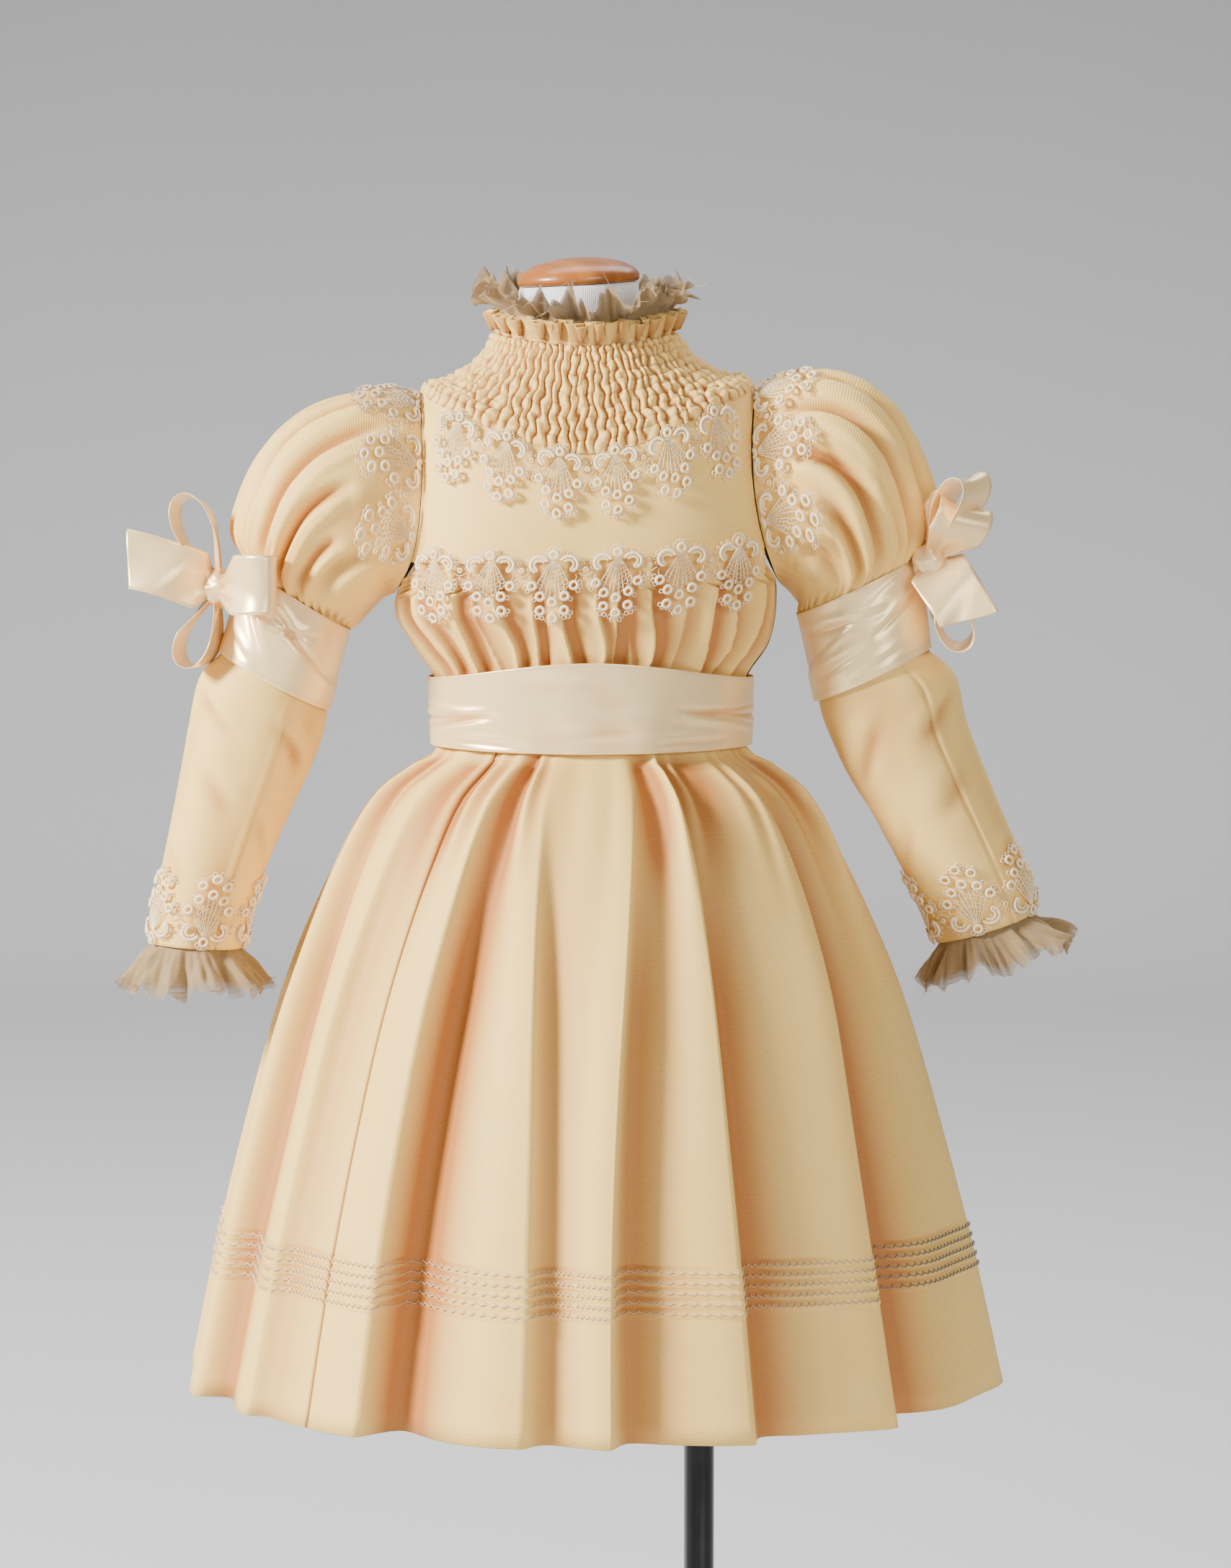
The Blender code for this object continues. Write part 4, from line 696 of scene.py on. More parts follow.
def skirt_row(columns, level):
    """One row of the skirt's outer face, and how much painted shade each of its points gets from how deep it
    lies.
    """
    height, side_x, front_y, back_y, gather = read_rows(SKIRT, level)
    share = (SKIRT[0].height - height) / (SKIRT[0].height - SKIRT[-1].height)
    middles = np.array([(fold.waist_angle + fold.hem_angle) / 2 for fold in SKIRT_FOLDS])
    edges = fold_edges(share)
    turns = np.floor((columns + 180.0) / 360.0)
    wide_middles = np.concatenate(([middles[-1] - 360.0], middles, [middles[0] + 360.0]))
    wide_edges = np.concatenate(([edges[-1] - 360.0], edges, [edges[0] + 360.0]))
    angle = np.interp(columns - 360.0 * turns, wide_middles, wide_edges) + 360.0 * turns
    growth = min(max((share - 0.03) / 0.40, 0.0), 1.0)
    growth = growth * growth * (3.0 - 2.0 * growth)
    push = np.zeros_like(angle)
    for fold, edge in zip(SKIRT_FOLDS, edges):
        past = (angle - edge + 180.0) % 360.0 - 180.0
        gap = np.where(past > 0, (past / fold.width) * np.exp(1.0 - past / fold.width), 0.0)
        push -= fold.valley * gap
        push += fold.height * np.exp(-(past / np.where(past > 0, 1.6, fold.ridge)) ** 2)
    push = push * growth
    # Painted shade: the deeper in a fold's hollow or in the gathers under the belt, the darker.
    depth = -push / 0.016
    small = np.sin(np.radians(columns * 38.0) + 2.4 * ripple(columns, level * 0.3, 71, 18, 1.0))
    medium = np.sin(np.radians(columns * 19.0) + 1.8 * ripple(columns, level * 0.3, 72, 9, 1.0))
    strength = 0.75 + 0.35 * ripple(columns, level * 0.2, 74, 12, 1.0)
    near = math.exp(-((share - 0.05) / 0.13) ** 2) * min(gather + 0.15, 1.0)
    far = math.exp(-((share - 0.08) / 0.26) ** 2) * min(gather + 0.15, 1.0)
    push += strength * (near * 0.0034 * small + far * 0.0044 * medium)
    depth += strength * (near * (0.42 - 0.48 * small) + far * (0.20 - 0.32 * medium))
    push += 0.0016 * share * ripple(angle, share * 2.0, 73, 22, 1.5)
    across = np.sin(np.radians(angle))
    ahead = np.cos(np.radians(angle))
    base = np.where(ahead > 0, front_y, back_y)
    points = np.stack(((side_x + push) * across, -(base + push) * ahead, np.full_like(angle, height)), -1)
    return points, depth


level_steps = np.linspace(0.0, 9.0, 1800)
step_points = np.array([skirt_row(np.array([20.0]), step)[0][0] for step in level_steps])
from_waist = way(step_points)
skirt_length = from_waist[-1]
above_hem = list(np.linspace(skirt_length, 0.108, 40))
above_hem += list(np.arange(0.1065, 0.0705, -0.0012)) + list(np.linspace(0.068, 0.0, 7))
skirt_levels = np.interp(skirt_length - np.array(above_hem), from_waist, level_steps)

skirt_silk = silk("skirt silk", 0.0011, 0.06)
skirt_place = skirt_silk.place()
stain_x = skirt_silk.part(skirt_place, "X") + 0.0585 + skirt_silk.noise(skirt_place, 60.0) * 0.010 - 0.005
stain_z = (skirt_silk.part(skirt_place, "Z") - 0.4762) * 1.9
stain_far = (stain_x * stain_x + stain_z * stain_z) ** 0.5
front_side = skirt_silk.ramp(skirt_silk.part(skirt_place, "Y"), -0.05, -0.10)
stain = skirt_silk.ramp(stain_far, 0.012, 0.004, 0.0, 0.55) * front_side
skirt_silk.finish(skirt_silk.mix(stain, skirt_silk.colour(), (0.78, 0.55, 0.20)))

high = np.array(above_hem)[:, None]
in_tucks = (high >= LOWEST_TUCK) & (high < LOWEST_TUCK + TUCKS * TUCK_PITCH)
lap = 1.0 - ((high - LOWEST_TUCK) / TUCK_PITCH) % 1.0
for name, start, end, width in GORES:
    columns = np.linspace(start, end, int((end - start) * COLUMNS_A_DEGREE))
    rows = [skirt_row(columns, step) for step in skirt_levels]
    points = np.array([row[0] for row in rows])
    depth = np.array([row[1] for row in rows])
    from_seam = np.minimum(columns - start, end - columns)[None, :] * 0.0030
    relief = np.where(in_tucks, 0.0011 * lap, 0.0) - 0.0013 * np.exp(-(from_seam / 0.0013) ** 2) - UNDER_SOLID
    # Painted shade: fold hollows and the undersides of the tucks' laps are painted darker; the seams' lines
    # are darker too.
    hollow = depth + np.where(in_tucks & (lap < 0.3), 0.22, 0.0) + 0.4 * np.exp(-(from_seam / 0.0012) ** 2)
    cloth_piece(f"{name}_cloth", lifted(points, relief, False), False, hollow, skirt_silk, name,
                thickness=SILK_THICKNESS, flat=(width, 0.44), held="hung")


# Feather stitching: one row of fawn silk thread worked by hand along each tuck, a zigzag of
# slanting stitches with a short spur. It turns grey at the far right.
def tubes(name, lines, sides, material, slot):
    """Thin tubes along lines of points, each with its outward directions and radius."""
    vertices = []
    faces = []
    count = 0
    turn = np.arange(sides) * 2.0 * math.pi / sides
    for middle, out, radius, closed in lines:
        if closed:
            along = np.roll(middle, -1, axis=0) - np.roll(middle, 1, axis=0)
        else:
            along = np.gradient(middle, axis=0)
        side = unit(np.cross(along, out))
        ring = (middle[:, None] + out[:, None] * (radius * np.cos(turn))[None, :, None]
                + side[:, None] * (radius * np.sin(turn))[None, :, None])
        vertices.append(ring.reshape(-1, 3))
        number = len(middle)
        k, s = np.meshgrid(np.arange(number if closed else number - 1), np.arange(sides), indexing="ij")
        after = (k + 1) % number
        turned = (s + 1) % sides
        quads = np.stack((k * sides + s, k * sides + turned, after * sides + turned, after * sides + s), -1)
        faces.append(quads.reshape(-1, 4) + count)
        count += number * sides
    mesh = bpy.data.meshes.new(name)
    mesh.from_pydata(np.concatenate(vertices).tolist(), [], np.concatenate(faces).tolist())
    return new_piece(name, mesh, material, (), slot)


stitch_paint = Paint("feather stitch thread", Roughness=0.5, Sheen_Weight=0.2)
stitch_place = stitch_paint.place()
stitch_colour = stitch_paint.mix(stitch_paint.noise(stitch_place, 40.0), (0.60, 0.40, 0.22),
                                 (0.80, 0.62, 0.40))
grey_part = stitch_paint.ramp(stitch_paint.part(stitch_place, "X"), 0.10, 0.21)
stitch_colour = stitch_paint.mix(grey_part, stitch_colour, (0.12, 0.11, 0.10))
stitch_paint.finish(stitch_colour, height=stitch_paint.noise(stitch_place, 3000.0), strength=0.4)
stitch_turns = np.arange(0.0, 360.0, 0.42)
zigzag = []
for tuck in range(TUCKS):
    rows = []
    for shift in (0.0022, 0.0036):
        height = LOWEST_TUCK + tuck * TUCK_PITCH + shift
        points, _ = skirt_row(stitch_turns, float(np.interp(skirt_length - height, from_waist, level_steps)))
        rows.append((points, unit(points * (1.0, 1.0, 0.0))))
    (low, low_out), (high, high_out) = rows
    for k in range(0, len(low) - 3, 3):
        path = np.array((low[k], high[k + 1], low[k + 3]))
        out = low_out[[k, k + 1, k + 3]]
        zigzag.append((path + out * 0.0010, out, 0.00042, False))
        spur = np.array((high[k + 1], high[k + 1] + (high[k + 1] - low[k + 1]) * 0.7))
        zigzag.append((spur + high_out[[k + 1, k + 1]] * 0.0009, high_out[[k + 1, k + 1]], 0.00036, False))
tubes("feather_stitching", zigzag, 3, stitch_paint.material, "silk")


# Sleeve puffs: wide upper sleeves of ribbed silk, gathered into the armhole and into the arm
# band. Large soft folds run down from the shoulder and end in small round tucks at the band.
ArmRing = namedtuple("ArmRing", "outer_x outer_z inner_x inner_z half_depth")
PUFF_LEFT = named_rows(ArmRing, (
    (-0.1044, 0.8991, -0.1202, 0.7815, 0.0475), (-0.1270, 0.9050, -0.1240, 0.7783, 0.0560),
    (-0.1520, 0.9020, -0.1290, 0.7738, 0.0620), (-0.1790, 0.8910, -0.1340, 0.7692, 0.0630),
    (-0.2030, 0.8660, -0.1385, 0.7655, 0.0580), (-0.2190, 0.8230, -0.1430, 0.7620, 0.0460),
    (-0.2100, 0.7988, -0.1486, 0.7598, 0.0340), (-0.2117, 0.7929, -0.1503, 0.7539, 0.0338),
))
PUFF_RIGHT = named_rows(ArmRing, (
    (0.1005, 0.9034, 0.1148, 0.7884, 0.0475), (0.1230, 0.9140, 0.1196, 0.7835, 0.0560),
    (0.1480, 0.9170, 0.1230, 0.7800, 0.0610), (0.1740, 0.9060, 0.1245, 0.7775, 0.0620),
    (0.1960, 0.8790, 0.1252, 0.7755, 0.0580), (0.2125, 0.8280, 0.1256, 0.7735, 0.0470),
    (0.2000, 0.8036, 0.1262, 0.7686, 0.0375), (0.2008, 0.7975, 0.1276, 0.7629, 0.0372),
))
PUFF_CREASES_LEFT = named_rows(Crease, (
    (22, 1.0, 34, 4.2, 0.0050, 0.0070), (48, 0.8, 62, 5.4, 0.0046, 0.0085),
    (80, 2.2, 78, 5.6, 0.0040, 0.0085), (104, 3.2, 96, 5.7, 0.0034, 0.0060),
    (10, 3.4, 22, 5.6, 0.0036, 0.0060), (36, 4.4, 44, 5.7, 0.0026, 0.0045),
    (70, 4.6, 69, 5.8, 0.0022, 0.0040), (124, 1.2, 116, 4.6, 0.0050, 0.0045),
    (-30, 1.0, -24, 4.8, 0.0050, 0.0070), (-58, 0.9, -60, 5.4, 0.0048, 0.0080),
    (-88, 1.8, -84, 5.6, 0.0042, 0.0070), (-118, 1.6, -108, 5.2, 0.0046, 0.0050),
    (-6, 3.8, -2, 5.6, 0.0032, 0.0050), (-44, 4.2, -42, 5.7, 0.0026, 0.0045),
))
PUFF_CREASES_RIGHT = named_rows(Crease, (
    (18, 0.9, 30, 4.6, 0.0050, 0.0070), (44, 1.1, 55, 5.2, 0.0046, 0.0080),
    (72, 0.8, 84, 5.5, 0.0044, 0.0080), (100, 2.8, 99, 5.6, 0.0034, 0.0060),
    (64, 3.8, 66, 5.7, 0.0028, 0.0050), (6, 3.2, 14, 5.6, 0.0036, 0.0060),
    (36, 4.2, 40, 5.7, 0.0026, 0.0045), (128, 1.4, 118, 4.8, 0.0050, 0.0045),
    (-26, 0.9, -30, 5.0, 0.0050, 0.0070), (-62, 1.0, -54, 5.4, 0.0048, 0.0080),
    (-92, 1.6, -90, 5.6, 0.0042, 0.0070), (-122, 1.8, -112, 5.0, 0.0046, 0.0050),
    (-8, 3.9, -10, 5.6, 0.0032, 0.0050), (-42, 4.4, -38, 5.7, 0.0026, 0.0045),
))
PUFF_GATHERS = 38
PUFF_UNDER_SOLID = 0.0003


def arm_points(rings, angle, level):
    """Points round an arm; angle 0 is its outer side and 90 its front."""
    angle, level = np.broadcast_arrays(angle, level)
    outer_x, outer_z, inner_x, inner_z, half_depth = np.moveaxis(read_rows(rings, level), -1, 0)
    side = np.cos(np.radians(angle))
    x = (outer_x + inner_x) / 2 + (outer_x - inner_x) / 2 * side
    z = (outer_z + inner_z) / 2 + (outer_z - inner_z) / 2 * side
    return np.stack((x, -half_depth * np.sin(np.radians(angle)), z), axis=-1)


def puff_points(rings, side, angle, level):
    """Arm points whose first ring is drawn onto the armhole's edge."""
    angle, level = np.broadcast_arrays(angle, level)
    points = arm_points(rings, angle, level)
    hole_level = ARMHOLE_MIDDLE - ARMHOLE_REACH * np.cos(np.radians(angle))
    hole_angle = side * (90.0 - ARMHOLE_ANGLE * np.sin(np.radians(angle)))
    hole = body_points(TORSO, hole_angle, hole_level)
    pull = (1.0 - np.clip(level, 0.0, 1.0)) ** 2
    return points + (hole - arm_points(rings, angle, 0.0 * level)) * pull[..., None]


puff_silk = silk("sleeve silk", 0.0011, 0.08)
for label, side, rings, table, seed in (("left", -1, PUFF_LEFT, PUFF_CREASES_LEFT, 81),
                                        ("right", 1, PUFF_RIGHT, PUFF_CREASES_RIGHT, 91)):
    angle, level = round_grid(250, 0.0, 6.9, 68)
    folds = creases(angle, level, table, 0.00100, 0.0190)
    gathers = np.cos(np.radians(angle) * PUFF_GATHERS + 1.4 * ripple(angle, level * 0.6, seed, 12, 1.0))
    close = 0.5 * np.exp(-((level - 0.3) / 0.5) ** 2) + np.exp(-((level - 5.75) / 0.55) ** 2)
    folds += 0.0013 * gathers * close + 0.0012 * ripple(angle, level, seed + 1, 6, 1.2)
    edge = np.clip(level / 0.5, 0.0, 1.0) * np.clip((6.25 - level) / 0.5, 0.0, 1.0)
    folds = np.clip(folds, -0.011, 0.0024) * edge
    points = lifted(puff_points(rings, side, angle, level), folds - PUFF_UNDER_SOLID, True)
    # Painted shade: the puff's fold hollows are painted darker by their depth.
    cloth_piece(f"puff_{label}_cloth", points, True, -folds / 0.0085, puff_silk, f"sleeve_puff_{label}",
                flat=(0.40, 0.16), held="gathered")


# Arm bands: satin ribbon wound round each arm under the puff. The upper turn is folded over
# the lower one on a slant, with soft drawn creases, and both edges are picoted.
BAND_LEFT = named_rows(ArmRing, (
    (-0.2124, 0.8001, -0.1462, 0.7583, 0.0370), (-0.2205, 0.7728, -0.1530, 0.7335, 0.0372),
    (-0.2282, 0.7455, -0.1604, 0.7087, 0.0370),
))
BAND_RIGHT = named_rows(ArmRing, (
    (0.2022, 0.8046, 0.1241, 0.7676, 0.0400), (0.2058, 0.7760, 0.1310, 0.7408, 0.0393),
    (0.2084, 0.7480, 0.1373, 0.7143, 0.0385),
))
BAND_CREASES_LEFT = named_rows(Crease, (
    (62, 0.35, 128, 1.15, 0.0022, 0.0016), (38, 0.55, 72, 1.40, 0.0024, 0.0018),
    (74, 0.95, 120, 0.60, 0.0016, 0.0010), (30, 1.35, 60, 1.70, 0.0018, 0.0012),
    (200, 0.5, 260, 1.2, 0.0026, 0.0014), (285, 0.7, 330, 1.4, 0.0024, 0.0014),
))
BAND_CREASES_RIGHT = named_rows(Crease, (
    (70, 0.75, 150, 0.55, 0.0022, 0.0014), (30, 0.60, 84, 1.10, 0.0020, 0.0018),
    (96, 1.25, 150, 1.45, 0.0022, 0.0013), (60, 1.55, 110, 1.75, 0.0018, 0.0010),
    (205, 0.6, 265, 1.3, 0.0026, 0.0014), (290, 0.6, 335, 1.2, 0.0024, 0.0014),
))
BAND_THICKNESS = 0.0006
band_satin = satin("band satin", 0.15, (0.0011, 0.052))
for label, rings, table, seed in (("left", BAND_LEFT, BAND_CREASES_LEFT, 101),
                                  ("right", BAND_RIGHT, BAND_CREASES_RIGHT, 102)):
    angle, level = round_grid(180, 0.0, 2.0, 40)
    fold_line = 0.72 - 0.62 * np.cos(np.radians(angle + (10.0 if label == "left" else -20.0)))
    lap = 1.0 / (1.0 + np.exp(-(level - fold_line) / 0.012))
    folds = 0.0011 * lap - 0.0009 + creases(angle, level, table, 0.00066, 0.0272)
    folds += 0.0004 * ripple(angle, level, seed, 9, 2.5)
    # Painted shade: the band's creases and its under turn are painted darker.
    cloth_piece(f"band_{label}_satin", lifted(arm_points(rings, angle, level), folds, True), True,
                -folds / 0.0022 - 0.25, band_satin, f"arm_band_{label}", "satin", BAND_THICKNESS,
                flat=(0.24, 0.056), held="stretched", rests_on=[f"puff_{label}_cloth"])


# Lower sleeves: plain narrow sleeves of ribbed silk with one seam down the front and light
# drag lines, set inside the arm bands and finished with lace and organza at the wrist.
LOWER_LEFT = named_rows(ArmRing, (
    (-0.2252, 0.7506, -0.1602, 0.7152, 0.0347), (-0.2269, 0.7447, -0.1617, 0.7095, 0.0349),
    (-0.2400, 0.7290, -0.1635, 0.6990, 0.0372), (-0.2470, 0.7000, -0.1690, 0.6810, 0.0362),
    (-0.2540, 0.6640, -0.1820, 0.6520, 0.0340), (-0.2620, 0.6260, -0.1955, 0.6210, 0.0310),
    (-0.2690, 0.5920, -0.2080, 0.5890, 0.0283), (-0.2730, 0.5660, -0.2140, 0.5620, 0.0270),
))
LOWER_RIGHT = named_rows(ArmRing, (
    (0.2054, 0.7528, 0.1384, 0.7212, 0.0362), (0.2066, 0.7470, 0.1393, 0.7152, 0.0364),
    (0.2235, 0.7310, 0.1430, 0.7020, 0.0385), (0.2310, 0.7010, 0.1565, 0.6720, 0.0375),
    (0.2460, 0.6630, 0.1730, 0.6450, 0.0350), (0.2610, 0.6290, 0.1890, 0.6150, 0.0320),
    (0.2710, 0.6040, 0.2030, 0.5880, 0.0300), (0.2746, 0.5851, 0.2123, 0.5650, 0.0288),
))
LOWER_CREASES = named_rows(Crease, (
    (30, 2.3, 74, 2.9, 0.0040, 0.0016), (110, 2.4, 150, 3.3, 0.0044, 0.0020),
    (48, 3.6, 92, 4.3, 0.0046, 0.0013), (120, 4.3, 156, 5.1, 0.0040, 0.0013),
    (20, 5.0, 62, 5.5, 0.0036, 0.0010), (200, 2.6, 250, 3.4, 0.0044, 0.0020),
    (270, 3.2, 330, 4.0, 0.0050, 0.0018), (210, 4.6, 260, 5.2, 0.0040, 0.0012),
))
LOWER_THICKNESS = 0.0006
LOWER_UNDER_SOLID = 0.0004
lower_silk = silk("lower sleeve silk", 0.0011, 0.10)
for label, rings, seam, seed in (("left", LOWER_LEFT, 118.0, 111), ("right", LOWER_RIGHT, 62.0, 112)):
    angle, level = round_grid(150, 0.0, 7.0, 56)
    folds = creases(angle, level, LOWER_CREASES, 0.00060, 0.0260)
    folds += 0.0005 * ripple(angle, level, seed, 8, 1.5)
    beside = (angle - seam) * 0.0006
    folds += 0.0006 * np.exp(-((beside + 0.0025) / 0.0022) ** 2) - 0.0011 * np.exp(-(beside / 0.0008) ** 2)
    free = np.clip((level - 1.0) / 0.8, 0.0, 1.0)
    points = lifted(arm_points(rings, angle, level), folds * free - LOWER_UNDER_SOLID, True)
    # Painted shade: the sleeve's drag lines are painted darker by their depth.
    cloth_piece(f"lower_{label}_cloth", points, True, -folds / 0.0030, lower_silk, f"sleeve_lower_{label}",
                thickness=LOWER_THICKNESS, flat=(0.23, 0.185), held="hung")


# Cuff ruffles: a flared frill of the same frayed organza inside each cuff, in loose
# uneven waves with threads hanging from its raw edge.
RUFFLE_LEFT = named_rows(ArmRing, (
    (-0.2694, 0.5706, -0.2160, 0.5672, 0.0243), (-0.2702, 0.5652, -0.2168, 0.5618, 0.0243),
    (-0.2790, 0.5540, -0.2085, 0.5510, 0.0340), (-0.2890, 0.5390, -0.1990, 0.5370, 0.0440),
))
RUFFLE_RIGHT = named_rows(ArmRing, (
    (0.2709, 0.5891, 0.2138, 0.5707, 0.0260), (0.2720, 0.5839, 0.2149, 0.5655, 0.0260),
    (0.2830, 0.5770, 0.2103, 0.5545, 0.0360), (0.2975, 0.5680, 0.2035, 0.5390, 0.0450),
))
cuff_organza = organza("cuff organza", 0.028, 0.038)
for label, rings, seed in (("left", RUFFLE_LEFT, 121), ("right", RUFFLE_RIGHT, 131)):
    angle, level = round_grid(320, 0.0, 3.0, 20)
    swell = np.clip((level - 0.9) / 2.1, 0.0, 1.0)
    phase = np.radians(angle) * 11 + 1.5 * ripple(angle, level * 0.3, seed, 7, 1.0)
    wave = 0.0056 * swell * np.sin(phase) + 0.0024 * swell * ripple(angle, level, seed + 1, 45, 4.0)
    points = lifted(arm_points(rings, angle, level), wave, True)
    points[..., 2] -= swell ** 2 * 0.0030 * ripple(angle, 0 * level, seed + 2, 28, 0.0)
    ruffle = new_piece(f"cuff_organza_{label}", grid_mesh(f"cuff_{label}", points, True),
                       cuff_organza.material, [f"cuff_ruffle_{label}"], "organza")
    edge_out = outward(points, True)[-1] * 0.5 - upward * 0.8
    threads = loose_threads(f"cuff_threads_{label}", points[-1], edge_out, 170, 0.008, seed + 3,
                            thread_paint.material)


# Lace: off-white chemical lace of thick cords. Each tooth has a rosette with picots at its
# top, two corded scrolls, a fan of fine net and a triangle of rosettes, and it is sewn down
# along its upper edge only.
TOOTH_PITCH = 36.0
TOOTH_STEPS = 24
ROSETTES = ((0.0, 0.0), (-11.8, 17.9), (11.8, 17.9), (-6.9, 24.0), (6.9, 24.0), (0.0, 27.4),
            (-6.9, 32.2), (6.9, 32.2), (0.0, 36.4))
Line = namedtuple("Line", "points radius closed raised")


def flat_circle(x, y, radius, count):
    """Circle in the plane of the lace, in millimetres."""
    turn = np.arange(count) * 2.0 * math.pi / count
    return np.stack((x + radius * np.cos(turn), y + radius * np.sin(turn)), axis=-1)


def lace_tooth():
    """Cords of one tooth, thick and thin, in millimetres across and down."""
    thick = []
    thin = []
    for x, y in ROSETTES:
        thick.append(Line(flat_circle(x, y, 2.2, 10), 0.98, True, 0.8))
        away = math.atan2(y - 21.0, x if x else 0.001)
        if y == 0.0:
            directions = np.radians((-150, -118, -90, -62, -30))
        elif x == 0.0:
            directions = np.radians((15, 55, 125, 165)) if y > 31.0 else ()
        elif y > 31.0:
            directions = (away - 0.7, away, away + 0.7)
        elif abs(x) > 10.0:
            directions = np.radians((10, 50, -30) if x > 0 else (170, 130, 210))
        else:
            directions = (away,)
        for turn in directions:
            thin.append(Line(flat_circle(x + 3.8 * math.cos(turn), y + 3.8 * math.sin(turn), 1.15, 8),
                             0.42, True, 0.3))
    turn = np.radians(np.linspace(28.0, 242.0, 16))
    shrink = np.linspace(5.7, 3.9, 16)
    for side in (-1.0, 1.0):
        def scroll(radius, angle):
            return np.stack((side * (-8.8 + radius * np.cos(angle)), 6.2 - radius * np.sin(angle)), -1)

        for inset, size in ((0.0, 1.0), (2.2, 0.66)):
            thick.append(Line(scroll(shrink - inset, turn), size, False, 0.9))
        thick.append(Line(flat_circle(side * -10.3, 8.7, 0.95, 7), 0.68, True, 0.5))
        for k in range(1, 15, 2):
            thin.append(Line(scroll(np.array((shrink[k], shrink[k] - 2.1)), turn[k]), 0.26, False, 0.4))
        for k in range(2, 13, 2):
            thin.append(Line(flat_circle(*scroll(shrink[k] + 1.6, turn[k]), 0.95, 7), 0.30, True, 0.3))
        for path, size in ((((13.9, 10.5), (16.0, 12.0), (18.0, 12.6)), 0.35),
                           (((12.6, 11.4), (13.0, 13.5), (12.2, 15.6)), 0.30)):
            thin.append(Line(np.array(path) * (side, 1.0), size, False, 0.1))
    thick.append(Line(flat_circle(18.0, 9.0, 1.15, 8), 0.52, True, 0.2))
    thin.append(Line(flat_circle(18.0, 14.2, 1.0, 8), 0.27, True, 0.0))
    thin.append(Line(flat_circle(16.3, 4.9, 0.95, 7), 0.25, True, 0.0))
    spread_share = np.linspace(-1.0, 1.0, 8)
    down_share = np.linspace(0.0, 1.0, 6)
    ends_x = spread_share * 9.9
    ends_y = 26.0 - 0.80 * np.abs(ends_x)

    def net_point(share, down):
        end_x = np.interp(share, spread_share, ends_x)
        end_y = np.interp(share, spread_share, ends_y)
        return np.stack((share * 1.3 + (end_x - share * 1.3) * down ** 0.9, 3.4 + (end_y - 3.4) * down), -1)

    for share in spread_share:
        wobble = 0.05 * np.sin(down_share * 31.0 + 9.0 * share)
        thin.append(Line(net_point(share + wobble * 0.6, down_share), 0.34, False, 0.2))
    for k, down in enumerate(np.linspace(0.22, 0.97, 7)):
        across = np.linspace(-1.0, 1.0, 17)
        jog = 0.034 * np.where((np.arange(17) + k) % 2 == 0, 1.0, -1.0)
        thin.append(Line(net_point(across, down + jog), 0.32, False, 0.2))
    return thick, thin


def cord_lace():
    """Material of matt twisted cotton cord, greyed here and there."""
    paint = Paint("corded lace", Roughness=0.8, Sheen_Weight=0.3, Specular_IOR_Level=0.3)
    place = paint.place()
    colour = paint.mix(paint.noise(place, 22.0, 4.0), (0.95, 0.72, 0.38), (0.97, 0.83, 0.54))
    dirt = paint.ramp(paint.noise(place, 16.0, 5.0, 0.65), 0.56, 0.80, 0.0, 0.4)
    colour = paint.mix(dirt, colour, (0.74, 0.57, 0.38))
    # The cords are coloured darker over the left shoulder.
    shoulder = paint.ramp(paint.part(place, "Z"), 0.862, 0.897)
    shoulder = shoulder * paint.ramp(paint.part(place, "X"), -0.068, -0.098)
    colour = paint.mix(shoulder * 0.8, colour, (0.36, 0.26, 0.17))
    twist = paint.noise(paint.stretched(place, 2600.0, 2600.0, 2600.0), 1.0, 3.0, 0.7)
    paint.finish(paint.mix(paint.ramp(twist, 0.35, 0.6, 0.35, 0.0), colour, (0.80, 0.60, 0.38)))
    return paint


